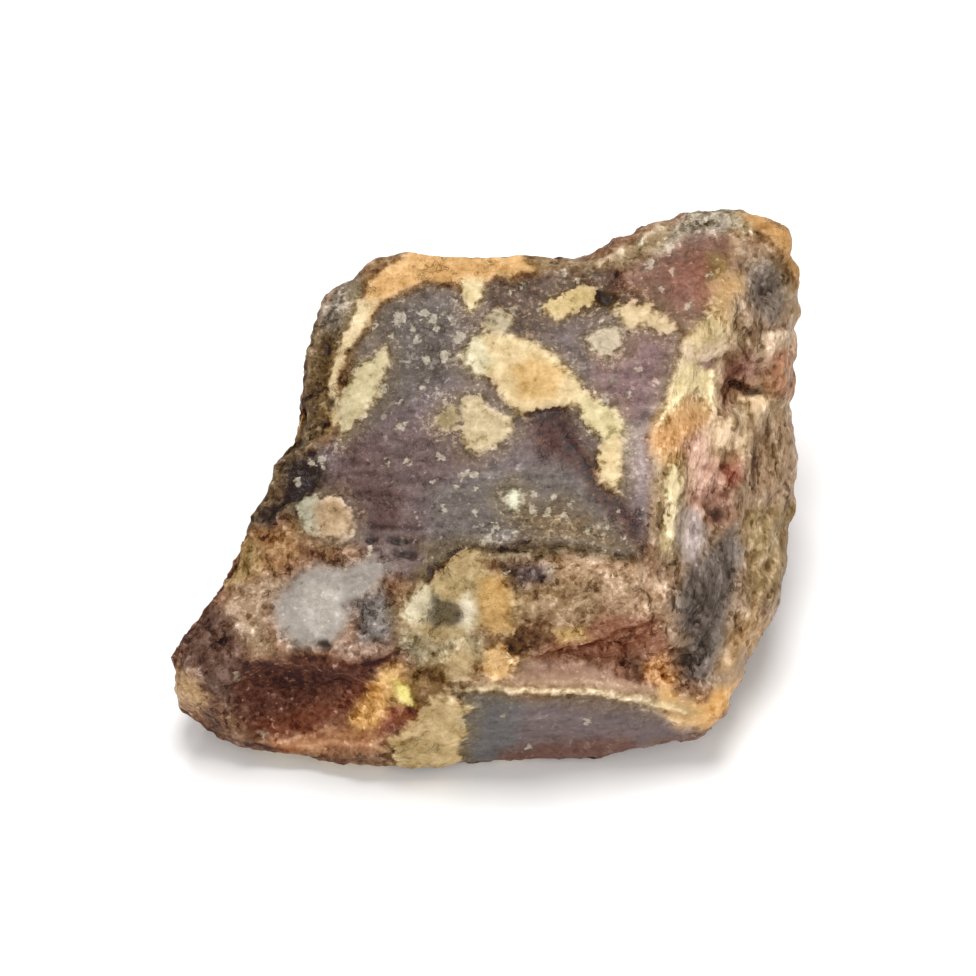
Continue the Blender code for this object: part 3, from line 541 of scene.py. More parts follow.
rind_tone = np.full(len(place), split(PATCH["centre"][0])[0])
rind_tinge = np.tile(split(PATCH["centre"][0])[1], (len(place), 1))
rind_depth = np.full(len(place), FAR_OUT)
for colour, outline in PATCH.values():
    zone_tone, zone_tinge = split(colour)
    depth = seen_depth(outline)
    rind_tone = toward(rind_tone, zone_tone, smooth_step(depth, *RIND_EDGE))
    rind_tinge = toward(rind_tinge, zone_tinge, smooth_step(depth, *RIND_EDGE))
    rind_depth = np.maximum(rind_depth, depth)
rind_noise = fractal(place, HIDDEN_RIND_WAVELENGTH, 3, 9)
rind_behind = np.where(hidden > 0.5, 5.0 * (rind_noise - HIDDEN_RIND_LEVEL), FAR_OUT)
rind_depth = np.maximum(rind_depth, rind_behind)
tinge = toward(tinge, rind_tinge, 0.35 * smooth_step(rind_depth, -2.2, -0.5))
tinge = toward(tinge, rind_tinge, smooth_step(rind_depth, -0.7, 0.6))
fields["rind"] = rind_depth
fields["rind_tone"] = rind_tone
fields["neat"] = seen_depth(*(PATCH[name][1] for name in NEAT))


# The small marks. Pits are as dark as their level, dusty places are clean resin that sand has dulled, and
# crumbs are single pale grains with a middle and a radius. A line is a crease where it is dark, and where
# it is
# light a thread of crust or, along the top rim, the ledge's edge and the polished nose, a painted
# highlight:
# its change of tone, its half width and its points.
PIT = {
    "front pit": (84, [(-5.8, -11), (-5.2, -10.7), (-4.8, -11.4), (-4.1, -11.2), (-3.3, -11.6),
        (-2.7, -12.4), (-2.9, -13.2), (-3.7, -13.6), (-4.5, -13.4), (-5.2, -13.8), (-5.8, -13),
        (-5.6, -12)]),
    "slit": (40, [(24.6, 10.7), (25.6, 10.1), (27.3, 10.1), (27.5, 9.7), (26, 9.7)]),
    "hole": (40, [(11.2, 19), (11.8, 19.4), (12.6, 19), (12.2, 18.2), (11.4, 18.2)]),
    "eye": (40, [(19, -16.7), (19.6, -16.5), (20, -16.9), (19.6, -17.4), (19.2, -17.4)]),
    "pit row, upper": (40, [(-12.2, -4.8), (-11.6, -4.8), (-11.2, -5.2), (-12, -5.4)]),
    "pit row, middle": (40, [(-9.7, -5), (-8.5, -5), (-7.9, -5.4), (-9.5, -5.4)]),
    "pit row, lower": (40, [(-9.5, -6.2), (-7.6, -6.2), (-7.9, -6.8), (-9.3, -6.6)]),
    "nose pit": (40, [(-16.7, -15.5), (-16.1, -15.3), (-15.9, -15.9), (-16.5, -16.1)]),
    "flank pit": (40, [(22.3, -2.1), (22.9, -1.7), (23.4, -2.5), (22.7, -2.9)]),
    "rim pit": (40, [(-15.9, 8.7), (-15.3, 8.9), (-15.3, 8.1), (-15.7, 7.9)]),
}
DUSTY = {
    "top": [(0, 21.3), (12.6, 21.3), (16.1, 19.6), (14.9, 15.9), (9.5, 16.7), (4.3, 15.9), (1.2, 16.7)],
    "left": [(-10.1, 18.6), (-2.9, 19.2), (-1.2, 15.9), (-3.3, 11.4), (-8.1, 11.4)],
    "middle": [(-7.4, 10.3), (-2.5, 10.3), (-0.8, 6.2), (-3.9, 4.1), (-8.1, 5.2)],
    "low": [(-0.8, -4.1), (7.4, -2.1), (11.6, -2.7), (14.9, -5.2), (14.9, -7.2), (3.3, -8.1), (-2.9, -7.2)],
    "shoulder": [(14.9, 23.4), (17.8, 25.8), (24, 28.3), (26.9, 25.8), (24, 24.2), (19.8, 24.6),
        (15.7, 21.7)],
    "left edge": [(-18.2, 4.1), (-14.9, 5.6), (-13.2, 4.8), (-15.3, 2.1), (-17.8, 1.4)],
}
LINES = [
    (-30, 0.27, [(25.6, 11.4), (25.8, 8.5), (26.5, 5.2), (26.3, 2.1), (26.7, -0.6)]),
    (-26, 0.25, [(27.9, 6.8), (28.3, 3.5), (28.1, 0.2)]),
    (-26, 0.25, [(20.5, -3.1), (20.3, -5.6), (21.1, -7.6)]),
    (-24, 0.25, [(18.4, -5.2), (19, -8.1), (19.2, -10.5)]),
    (-20, 0.72, [(3.1, 6.8), (4.8, 7), (6.6, 7.4), (8.7, 7.2)]),
    (-26, 0.31, [(7.2, 6), (8.5, 3.9), (9.7, 1.7), (11.2, -0.2), (12.8, -1.7), (14.3, -3.7), (14.9, -5.8)]),
    (-34, 0.45, [(-5.8, -8.1), (-3.9, -6.6), (-1.9, -5.8), (1.2, -5.8), (4.3, -5.4), (8.5, -5.6),
        (12.6, -6.4), (14.9, -7)]),
    (-55, 0.33, [(-0.2, -7.9), (1.4, -7.6), (2.7, -8.7)]),
    (-50, 0.27, [(2.9, -17.6), (5, -17.2), (7.4, -16.5), (9.5, -15.9), (11.6, -15.3), (14.9, -13.8),
        (17.2, -13)]),
    (-18, 0.62, [(9.9, -16.9), (13.2, -16.3), (15.7, -15.1)]),
    (-45, 0.31, [(18.6, -16.3), (19.6, -15.9), (20.3, -16.7), (19.8, -17.8), (18.6, -17.4)]),
    (-45, 0.29, [(-6.2, -9.3), (-5.6, -10.1), (-5.4, -11.4)]),
    (-50, 0.33, [(-5.2, -16.9), (-4.1, -15.9)]),
    (-42, 0.37, [(-6.6, -18.2), (-5.4, -19.2), (-3.7, -19.2)]),
    (-36, 0.29, [(-9.1, -14.5), (-7, -15.1), (-5.2, -16.9)]),
    (-60, 0.31, [(24.8, 10.5), (26.3, 10.1), (27.3, 9.9)]),
    (-42, 0.41, [(23.8, 12.8), (25.2, 12.2), (24.2, 10.5), (23.8, 8.5)]),
    (-36, 0.29, [(25.2, 13.2), (26.5, 12.6)]),
    (-45, 0.29, [(27.1, 15.7), (28.3, 16.1), (29.8, 15.9)]),
    (-40, 0.33, [(21.1, 2.5), (22.3, 2.1)]),
    (-40, 0.37, [(23.4, 2.1), (24, 0.6), (23.2, -0.4)]),
    (-42, 0.31, [(21.9, -1.7), (22.7, -2.3), (22.9, -3.3), (21.9, -2.9)]),
    (-26, 0.41, [(23.4, -3.1), (24, -5.6), (23.6, -9.3)]),
    (-30, 0.45, [(20, -8.5), (21.3, -9.7), (22.3, -12)]),
    (-30, 0.41, [(20.5, -13.2), (21.9, -14.3), (21.5, -16.3)]),
    (-32, 0.33, [(26.7, -6.4), (25.6, -9.3)]),
    (-26, 0.29, [(27.9, -7.6), (27.3, -9.7)]),
    (-22, 0.25, [(27.3, 22.9), (28.3, 23.2), (29.4, 21.7)]),
    (-50, 0.45, [(11.2, 19.2), (12.6, 18.8)]),
    (-38, 0.27, [(0.2, 18.6), (1.9, 18.2), (3.3, 17.4)]),
    (-30, 0.27, [(0.8, 20.5), (3.3, 20.3), (5.8, 20.9)]),
    (-30, 0.29, [(3.9, 19.4), (5.8, 18.8)]),
    (-24, 0.29, [(2.7, 16.3), (5, 15.9), (7.4, 15.7)]),
    (-26, 0.29, [(7, 14.5), (8.9, 13.6), (9.7, 12.6)]),
    (-24, 0.29, [(9.1, 17.2), (11.2, 17.4), (12.8, 16.7)]),
    (-24, 0.29, [(12.8, 20), (14.7, 19.2), (16.3, 18.2)]),
    (-32, 0.31, [(-16.9, 17.4), (-18, 13.4), (-18.4, 9.3), (-18.2, 6.4), (-19.2, 3.7)]),
    (-22, 0.33, [(-15.1, 17.2), (-16.1, 15.5), (-16.5, 11.4), (-15.7, 8.1), (-15.1, 5.2)]),
    (-30, 0.29, [(-22.7, -17.4), (-19.8, -16.7), (-16.9, -16.9), (-14.9, -17.4)]),
    (-48, 0.37, [(-12.4, -17.4), (-10.7, -17.2), (-9.1, -16.3)]),
    (-50, 0.31, [(-24, -25.4), (-21.7, -26), (-19.2, -25.8)]),
    (-34, 0.29, [(-10.7, -25.8), (-9.1, -25.4), (-7.4, -25)]),
    (-26, 0.29, [(-17.4, -26.7), (-14.5, -27.1), (-12.4, -27.3)]),
    (-48, 0.29, [(-12.2, -5.2), (-11, -5.2)]),
    (-52, 0.31, [(-9.9, -5.2), (-8.1, -5.2)]),
    (-36, 0.29, [(-9.5, -6.4), (-7.6, -6.6)]),
    (-30, 0.29, [(-12, -3.7), (-9.1, -4.1), (-7, -3.9)]),
    (-20, 0.27, [(-14.9, 1.4), (-11.6, 1.4), (-7.9, 1), (-4.5, 1.4)]),
    (-20, 0.27, [(-13.2, -0.6), (-9.9, -0.4), (-6.6, -1)]),
    (-18, 0.27, [(-15.7, 3.7), (-12.4, 3.9), (-8.3, 3.3)]),
    (-30, 0.54, [(-18.8, -5.8), (-16.9, -6.8)]),
    (-48, 0.33, [(-16.9, -15.7), (-15.9, -15.9)]),
    (-36, 0.33, [(-13.4, -11.2), (-12.2, -10.7)]),
    (-40, 0.33, [(-13.2, -13.2), (-12, -14.5)]),
    (-30, 0.31, [(-10.3, -8.1), (-8.7, -9.3), (-7.6, -8.5)]),
    (-26, 0.27, [(-0.8, 8.3), (0.4, 9.7), (0, 11.4), (1, 10.1)]),
    (-30, 0.27, [(-27.9, -13.8), (-26.5, -15.5), (-25.2, -14.7)]),
    (-26, 0.29, [(13.8, -9.1), (14.1, -11)]),
    (-24, 0.33, [(3.3, -10.7), (5.8, -10.1), (8.3, -10.7)]),
    (-22, 0.33, [(8.7, -12), (11.6, -12.6), (14.9, -12)]),
    (-26, 0.33, [(12.4, -18.4), (14.9, -18.8), (16.1, -18.2)]),
    (-30, 0.31, [(-17.4, -1), (-17.8, 0.6), (-19.8, -0.6), (-21.1, -2.3)]),
    (-24, 0.29, [(-15.5, -2.3), (-14.3, -2.7), (-13.8, -3.7)]),
    (40, 0.25, [(22.1, 12), (22.3, 9.7), (22.3, 6.4)]),
    (34, 0.25, [(18.8, 9.3), (17.2, 7.2), (16.3, 4.8), (16.7, 2.1)]),
    (34, 0.27, [(27.3, -3.5), (26.5, -4.8), (26, -6)]),
    (36, 0.29, [(28.9, -5.2), (28.5, -7.6), (27.7, -10.1), (26.9, -12.6)]),
    (44, 0.21, [(-16.9, 15.9), (-17.8, 13.8), (-18.2, 10.5), (-18, 6.8)]),
    (26, 0.25, [(-18.8, -5.2), (-20.3, -6.8), (-21.9, -8.5)]),
    (26, 0.25, [(-23.6, -11.4), (-22.3, -10.5), (-20.7, -9.3)]),
    (58, 0.29, [(-17.6, 15.3), (-16.9, 17.2), (-16.3, 18), (-15.3, 18.2)]),
    (30, 0.25, [(-18, 14.3), (-18.2, 11.4)]),
    # A painted highlight along the top rim.
    (26, 0.27, [(-11.6, 22.3), (-8.1, 23.4), (-5, 23.6), (-1.7, 23.4), (-0.6, 22.5)]),
    (44, 0.31, [(14.9, 24), (16.1, 25.4), (17.4, 26)]),
    (46, 0.37, [(14.3, 23.8), (12.6, 22.9), (11.2, 22.1)]),
    (24, 0.27, [(15.9, 23.8), (18, 24)]),
    # A painted highlight along the ledge's edge.
    (40, 0.27, [(3.3, -20), (9.5, -20.3), (12.6, -20.5), (15.1, -21.1)]),
    (24, 0.27, [(5.8, -19.2), (9.5, -19.4), (13.2, -19.8)]),
    # A painted highlight where the ledge's edge runs down to the toe.
    (56, 0.29, [(15.5, -22.1), (17.2, -22.5), (19, -23.2)]),
    (50, 0.29, [(-3.5, -21.1), (-1, -21.5)]),
    (20, 0.5, [(23.8, -16.5), (24.2, -19.2), (23.6, -21.3), (21.9, -22.9), (19.2, -23.4)]),
    (46, 0.29, [(-23.6, -25.2), (-20.5, -25), (-17.8, -24.6), (-16.1, -24)]),
    (26, 0.29, [(-20.3, -25.6), (-15.3, -25.4), (-11.2, -25.8), (-8.7, -26.7)]),
    (48, 0.41, [(-12.4, -23.4), (-11.2, -22.3), (-10.7, -21.1)]),
    (62, 0.29, [(-30, -18.2), (-28.5, -18.6)]),
    (42, 0.25, [(-27.7, -20), (-26.5, -20.9), (-26, -22.1)]),
    (40, 0.29, [(-22.7, -24), (-21.7, -24.6)]),
    (48, 0.41, [(27.5, 15.3), (29.4, 15.1)]),
    (50, 0.33, [(25.4, 18.4), (25.6, 16.7)]),
    (44, 0.35, [(25.6, 9.1), (27.1, 8.9)]),
    (50, 0.45, [(27.3, 8.1), (27.9, 7.2)]),
    (36, 0.37, [(24.6, 8.1), (25.4, 7.2)]),
    (34, 0.41, [(18, -0.6), (18.2, -2.7), (17.8, -4.8)]),
    (40, 0.37, [(28.1, -3.3), (28.5, -5.2), (27.9, -6.6), (26.5, -7.9)]),
    (36, 0.33, [(27.5, -8.9), (26.9, -11.4)]),
    (48, 0.54, [(25.2, -12), (26, -12.8)]),
    (42, 0.41, [(23.4, -16.1), (24, -17.2)]),
    (26, 0.29, [(29.6, 0.6), (29.1, -3.1)]),
    (44, 0.41, [(17.6, -9.7), (18.2, -10.5)]),
    (34, 0.35, [(7.2, -6.4), (9.1, -7), (11, -7.4)]),
    (42, 0.33, [(0.2, -6.8), (2.1, -6.6), (4.1, -6.4)]),
    (24, 0.37, [(11.8, -8.5), (11.2, -10.7)]),
    (28, 0.37, [(4.5, -11.8), (6.6, -11.4)]),
    (40, 0.25, [(2.1, -17.2), (4.1, -17.4), (5.8, -17.7), (7.6, -17.6), (9.3, -17.5)]),
    (46, 0.37, [(1.7, -16.9), (2.7, -17.4)]),
    (36, 0.37, [(-4.8, -17.6), (-3.5, -17.2)]),
    (40, 0.33, [(-3.1, -19), (-1, -19.2), (0.6, -18.8)]),
    (34, 0.29, [(-22.3, -9.5), (-20.7, -8.7), (-19.2, -8.5)]),
    (38, 0.29, [(-25.2, -13.8), (-23.6, -14.3)]),
    (28, 0.29, [(-23.2, -12.6), (-22.3, -11.2)]),
    # Painted highlights on the polished nose.
    (22, 0.33, [(-17.4, -12), (-17.6, -13.8), (-16.5, -14.7)]),
    (24, 0.29, [(-14.7, -12), (-15.1, -13.8)]),
    (22, 0.33, [(-15.7, -10.3), (-14.9, -11.4)]),
    (30, 0.29, [(24.8, 24.6), (25.6, 22.9)]),
    (30, 0.31, [(13.8, 21.1), (14.9, 21.5)]),
    (34, 0.25, [(6.6, 21.5), (7.4, 20.5), (8.7, 20.9)]),
    (24, 0.27, [(14.9, 4.8), (15.5, 1.9)]),
    (26, 0.27, [(15.3, -2.5), (16.1, -5.2)]),
    (30, 0.33, [(-16.5, -1.4), (-15.1, -1), (-14.1, -1.9)]),
]
CRUMBS = [
    (-6, 12.8, 0.45), (-4.1, 13.2, 0.6), (-17.6, 2.5, 0.31), (-16.5, 2.9, 0.39), (-16.3, 2.1, 0.27),
    (-19, 0.6, 0.27), (-11.2, 16.1, 0.25), (-7.6, 15.9, 0.27), (-5.2, 15.9, 0.31), (-3.7, 16.5, 0.27),
    (-9.3, 15.3, 0.25), (-6.6, 9.9, 0.27), (-8.9, 8.5, 0.25), (-5.8, 0.8, 0.25), (-3.3, -0.2, 0.25),
    (-7.2, -2.7, 0.23), (-0.8, 9.3, 0.25), (6.8, -1, 0.25), (2.9, -4.1, 0.31), (11.6, -3.5, 0.25),
    (13.2, -4.5, 0.25), (18.4, 21.7, 0.25), (16.9, 20, 0.25), (21.9, 20.9, 0.25), (15.1, 11.8, 0.25),
    (12.6, 11, 0.27), (14.1, 9.5, 0.25), (-8.9, 16.9, 0.52), (-6.6, 17.4, 0.41), (-5.8, 16.7, 0.52),
    (-4.5, 17.2, 0.31), (-2.9, 15.1, 0.45), (-7.2, 14.9, 0.31), (-10.3, 10.1, 0.41), (-8.9, 6, 0.45),
    (-8.1, 2.9, 0.33), (-10.1, 2.5, 0.37), (-2.7, 1, 0.37), (-1.7, 1.4, 0.52), (-5, 3.3, 0.41),
    (-1.2, -0.4, 0.27), (-4.5, -2.1, 0.27), (-1.4, -2.5, 0.31), (0.8, -3.9, 0.45), (0.2, -5, 0.41),
    (4.5, -2.3, 0.41), (6, -2.5, 0.37), (7.6, -2.7, 0.41), (8.3, -1.4, 0.27), (4.8, -0.6, 0.27),
    (9.7, -3.9, 0.33), (6.4, -8.3, 0.33), (1.9, -8.3, 0.31), (10.1, -23.2, 0.41), (4.3, -25.8, 0.31),
    (1.7, -22.7, 0.29), (14.1, 3.7, 0.31), (11.6, 9.1, 0.45), (12.2, 19, 0.37), (18, 24, 0.33),
    (20, 18, 0.41), (16.3, 22.5, 0.41), (20.5, 27.1, 0.45), (22.5, 27.1, 0.45), (24, 26.7, 0.33),
    (21.5, 26.3, 0.29), (15.1, 24.4, 0.33), (-25, -18.8, 0.29), (-22.3, -24.4, 0.33), (-20.7, -14.7, 0.29),
    (-11.8, -6.2, 0.33), (-8.5, -5.2, 0.31), (3.3, 20.5, 0.31), (2.3, 19.8, 0.27), (7.4, 21.5, 0.31),
    (8.9, 20.7, 0.27), (2.7, 17.8, 0.31), (15.7, 22.1, 0.25), (5, 17.8, 0.31), (12.8, -2.1, 0.21),
]
CRUMB_COLOUR = (190, 178, 156)
CRUMB_TINGE = 0.7
PIT_TINGE = 0.6
DEEPEST_PIT = 0.15
LINE_SPREAD = 1.7
crumb_depth = np.full(len(place), FAR_OUT)
for crumb_across, crumb_upward, radius in CRUMBS:
    crumb_depth = np.maximum(crumb_depth, radius - np.hypot(across - crumb_across, upward - crumb_upward))
crumb_depth = showing(crumb_depth)
pit_depth = np.full(len(place), FAR_OUT)
pit_tone = np.full(len(place), DEEPEST_PIT)
for level, outline in PIT.values():
    depth = seen_depth(outline)
    pit_tone = toward(pit_tone, level / 255, smooth_step(depth, -0.6, -0.2))
    pit_depth = np.maximum(pit_depth, depth)
lines = np.zeros(len(place))
for change, half_width, marks in LINES:
    closeness = smooth_step(nearest_gap(marks, here), LINE_SPREAD * half_width, 0)
    lines += change / 255 * closeness * (1 - hidden)
tinge = toward(tinge, split(CRUMB_COLOUR)[1], CRUMB_TINGE * smooth_step(crumb_depth, -0.3, 0.1))
tinge = toward(tinge, PIT_TINGE * tinge, smooth_step(pit_depth, -0.5, 0.3))
fields["crumb"] = crumb_depth
fields["pit"] = pit_depth
fields["pit_tone"] = pit_tone
fields["lines"] = lines
fields["dusty"] = seen_depth(*DUSTY.values())


# The relief. Crust stands in lumps and clean resin is smooth and a little lower. The right flank is combed
# upwards, rind is a thin raised skin, and creases, pits and hollows are cut in. Each row is a height in
# millimetres, a wavelength, a number of octaves and a seed.
LUMPS = ((0.34, 2.4, 3, 1), (0.2, 1.0, 2, 2))
STREAKS = (0.28, 1.5, 3, 3)
STREAK_STRETCH = (1, 0.35, 0.9)
WAVES = (0.07, 3.5, 3, 4)
RIND_GRIT = (0.1, 1.1, 3, 6)
RIND_THICKNESS = 0.08
CLEAN_DROP = 0.12
LINE_HEIGHT = 0.8
PIT_DROP = 0.55
SUNK = {
    "flank, brown hollow": 0.25,
    "left, black notch": 0.3,
    "under the front patch": 0.4,
    "flank, rust low": 0.3,
    "band, rust": 0.25,
    "hollow, shade": -0.8,
    "band, hollow end": 0.3,
}


def relief_of(height, wavelength, octaves, seed, points=place):
    """Rough relief in millimetres at every place."""
    return height * fractal(points, wavelength, octaves, seed)


clean_share = smooth_step(fields["clean"], -0.5, 0.4)
cherry_share = smooth_step(fields["cherry"], -0.3, 0.5)
rind_share = smooth_step(rind_depth, -0.3, 0.3)
pit_share = smooth_step(pit_depth, -0.4, 0.3)
flank_share = smooth_step(fields["flank"], -1, 1) + smooth_step(outward[:, 0], 0.5, 0.8) * hidden
flank_share = np.clip(flank_share, 0, 1) * (1 - clean_share)
fields["flank"] = flank_share * 4 - 2
smooth_share = np.maximum(clean_share, 0.7 * cherry_share)
grit = sum(relief_of(*row) for row in LUMPS) * (1 - 0.75 * flank_share)
grit += relief_of(*STREAKS, points=place * STREAK_STRETCH) * flank_share
grit *= 1 - 0.9 * smooth_share
grit *= 1 - 0.7 * smooth_step(fields["neat"], -1.5, 0.5)
fields["grit"] = grit
height = grit + relief_of(*WAVES) * smooth_share
height += (RIND_THICKNESS + relief_of(*RIND_GRIT)) * rind_share
height -= CLEAN_DROP * clean_share * (1 - rind_share)
height += LINE_HEIGHT * lines - PIT_DROP * pit_share
for name, drop in SUNK.items():
    height -= drop * smooth_step(ground_depth(name), -0.6, 1.2)
raised = (place + outward * height[:, None]) * MM
move_skin(np.clip(raised, np.array(cad_box[0]), np.array(cad_box[1])))
for name, values in fields.items():
    layer = lump.data.attributes.new(name, "FLOAT", "POINT")
    layer.data.foreach_set("value", values.astype(np.float32))
layer = lump.data.attributes.new("tinge", "FLOAT_VECTOR", "POINT")
layer.data.foreach_set("vector", tinge.astype(np.float32).ravel())


# The finish. It is one stone, so one material goes from clean resin to crust, rind and crumbs. Each mark
# lightens or darkens the tone, as a screen shows it, then the place's tinge colours it. Clean resin lets
# light in, with amber's own index and absorption, and the crusts cover it.
AMBER_IOR = 1.54
AMBER_SPECULAR = 0.17
AMBER_TINT = (0.93, 0.68, 0.0, 1)
AMBER_DENSITY = 1260.0
SCREEN_GAMMA = 2.2
DARKEST = (0.14, 0.065, 0.045)
CRUMB_TONE = 0.64
SAND_GRAIN = 0.62
CLEAN_ROUGHNESS = 0.45
CRUST_ROUGHNESS = (0.36, 0.6)
RIND_ROUGHNESS = 0.52
CHERRY_ROUGHNESS = 0.75
CLEAN_SEE_THROUGH = 0.2
NEAT_SEE_THROUGH = 0.1
CHERRY_SEE_THROUGH = 0.12
finish = bpy.data.materials.new("raw_amber")
finish.use_nodes = True
tree = finish.node_tree
shader = tree.nodes["Principled BSDF"]


def node(kind, sockets=(), **settings):
    """A shader node, with each socket linked or set."""
    made = tree.nodes.new("ShaderNode" + kind)
    for name, value in settings.items():
        setattr(made, name, value)
    for key, value in dict(sockets).items():
        if isinstance(value, bpy.types.NodeSocket):
            tree.links.new(value, made.inputs[key])
        else:
            made.inputs[key].default_value = value
    return made


def maths(operation, a, b=0.0):
    """Two values worked together."""
    return node("Math", {0: a, 1: b}, operation=operation).outputs[0]


def vector_maths(operation, sockets):
    """Vectors worked together, with the sockets as they are linked or set."""
    return node("VectorMath", sockets, operation=operation).outputs[0]


def mix(factor, below, above):
    """One value laid over another by a factor."""
    return node("Mix", {0: factor, 2: below, 3: above}).outputs[0]


def band(value, start, end, low=0.0, high=1.0):
    """A value carried smoothly from start and end to low and high."""
    sockets = {0: value, 1: start, 2: end, 3: low, 4: high}
    return node("MapRange", sockets, interpolation_type="SMOOTHSTEP").outputs[0]


def swing(value, reach):
    """A noise value centred on 0.5 turned into plus or minus some reach."""
    return maths("MULTIPLY", maths("SUBTRACT", value, 0.5), reach)


def part_of(value, share):
    """A share of a value."""
    return maths("MULTIPLY", value, share)


def total(*values):
    """Values added up in their order."""
    summed = values[0]
    for value in values[1:]:
        summed = maths("ADD", summed, value)
    return summed


def field(name):
    """A value that the mesh holds at every place."""
    return node("Attribute", attribute_name=name).outputs["Fac"]


in_metres = node("TexCoord").outputs["Object"]
mm = vector_maths("SCALE", {0: in_metres, "Scale": 1000.0})
flowing = vector_maths("MULTIPLY", {0: mm, 1: (1.0, 0.3, 0.85)})
combed = vector_maths("MULTIPLY", {0: mm, 1: (0.28, 1.0, 1.0)})


def grain(wavelength, detail, roughness, shift, along=mm):
    """Noise of a wavelength in millimetres."""
    moved_on = vector_maths("ADD", {0: along, 1: (shift, shift, shift)})
    texture = {"Vector": moved_on, "Scale": 1 / wavelength, "Detail": detail, "Roughness": roughness}
    return node("TexNoise", texture).outputs[0]


def sand(size):
    """Sharp-edged grains: a random level for each, and how far each place is from the grain's middle."""
    bend = node("TexNoise", {"Vector": mm, "Scale": 0.8 / size, "Detail": 2.0}).outputs["Color"]
    bend = vector_maths("SCALE", {0: bend, "Scale": 0.9 * size})
    made = node("TexVoronoi", {"Vector": vector_maths("ADD", {0: mm, 1: bend}), "Scale": 1 / size})
    return made.outputs["Color"], made.outputs["Distance"]


flank_cover = band(field("flank"), -1.5, 1.5)


def grain_by_side(wavelength, detail, roughness, shift, flank_wavelength, flank_shift):
    """Even noise, and on the right flank noise that runs upwards."""
    even = grain(wavelength, detail, roughness, shift)
    return mix(flank_cover, even, grain(flank_wavelength, detail, roughness, flank_shift, flowing))


grain_level, grain_depth = sand(SAND_GRAIN)
grain_body = band(grain_depth, 0.6, 0.3)
light_grains = maths("MULTIPLY", band(grain_level, 0.6, 0.72), grain_body)
dark_grains = maths("MULTIPLY", band(grain_level, 0.4, 0.28), grain_body)
chips = grain_by_side(1.6, 4, 0.6, 0, 1.5, 40)
blots = grain_by_side(3.4, 4, 0.55, 23, 3.0, 61)
pepper = grain_by_side(0.5, 2, 0.6, 7, 0.55, 9)
flakes = grain(0.7, 3, 0.55, 11)


def cover(name, edge, ragged, fray):
    """How much a marked zone covers, with a ragged edge."""
    rough_edge = total(field(name), swing(chips, ragged), swing(flakes, fray))
    return band(rough_edge, maths("MULTIPLY", edge, -1.0), edge)


clean_cover = cover("clean", 0.5, 3.5, 2.0)
cherry_cover = cover("cherry", 0.8, 2.5, 1.0)
pit_cover = cover("pit", 0.35, 1.0, 0.6)
dusty_cover = cover("dusty", 1.5, 2.0, 1.0)
calm_cover = band(field("calm"), -0.8, 0.8)
gritty_cover = band(field("gritty"), -0.8, 0.8)
neat_cover = band(field("neat"), -1.5, -0.3)
crumb_cover = band(total(field("crumb"), swing(flakes, 1.1), swing(pepper, 1.0)), -0.12, 0.12)
rind_edge = mix(neat_cover, band(blots, 0.35, 0.65, 0.15, 0.65), 0.3)
lobed_edge = total(field("rind"), swing(grain(1.3, 3, 0.5, 15), mix(neat_cover, 2.2, 0.5)),
                   swing(flakes, mix(neat_cover, 1.3, 0.6)), swing(pepper, mix(neat_cover, 0.7, 0.3)))
rind_cover = band(lobed_edge, maths("MULTIPLY", rind_edge, -1.0), rind_edge)
rind_shadow = band(lobed_edge, -0.9, -0.1)

# Marks on every ground. They are weaker where the ground is dark.
swap = band(grain(1.2, 3, 0.5, 19), 0.5, 0.58)
ground_tone = mix(part_of(swap, 0.75), field("tone"), field("strayed_tone"))
strength = band(ground_tone, 0.1, 0.6, 0.75, 1.0)
mottle = total(part_of(chips, 0.5), part_of(flakes, 0.25), part_of(blots, 0.25))
crowd = band(grain(2.6, 3, 0.55, 87), 0.4, 0.6, 0.25, 1.0)
grain_marks = maths("MULTIPLY", total(part_of(light_grains, 0.16), part_of(dark_grains, -0.17)), crowd)

# Crust: worn lumps, speckle and short cracks.
worn = total(mottle, part_of(band(field("grit"), -0.25, 0.25), 0.08))
worn_marks = total(part_of(band(worn, 0.56, 0.66), 0.12), part_of(band(worn, 0.52, 0.42), -0.12))
speckle = total(part_of(band(pepper, 0.56, 0.66), 0.1), part_of(band(pepper, 0.44, 0.34), -0.11))
crack_grain = mix(flank_cover, grain(3.2, 4, 0.55, 51), grain(2.8, 4, 0.55, 57, flowing))
cracks = band(maths("ABSOLUTE", swing(crack_grain, 1.0)), 0.04, 0.0)
cracks = maths("MULTIPLY", cracks, band(blots, 0.5, 0.4))
crust_marks = total(grain_marks, swing(mottle, 0.55), worn_marks, speckle, part_of(cracks, -0.14))
crust_marks = maths("MULTIPLY", crust_marks, maths("MULTIPLY", strength, mix(gritty_cover, 0.9, 1.15)))

# Clean resin: brushed streaks, dark pores, and dust, which lies thicker by the rinds.
clump = total(part_of(dusty_cover, 0.06), swing(grain(4.0, 2, 0.5, 71), 0.25))
speck_grain = maths("MAXIMUM", grain(0.75, 2, 0.5, 77), maths("SUBTRACT", grain(1.5, 3, 0.6, 83), 0.015))
specks = band(total(clump, speck_grain), 0.665, 0.71)
dust_bed = total(part_of(dusty_cover, 0.5), band(field("rind"), -2.4, -0.2, 0.0, 0.5), 0.3)
dust = band(total(grain(0.42, 2, 0.6, 43), swing(grain(2.2, 3, 0.6, 47), 0.3)), 0.53, 0.64)
dust = maths("MULTIPLY", dust, dust_bed)
pores = total(part_of(band(grain(0.8, 2, 0.5, 91), 0.34, 0.27), -0.12),
              part_of(band(grain(1.0, 3, 0.6, 53), 0.46, 0.36), -0.08))
brushed = grain(1.1, 4, 0.65, 29, combed)
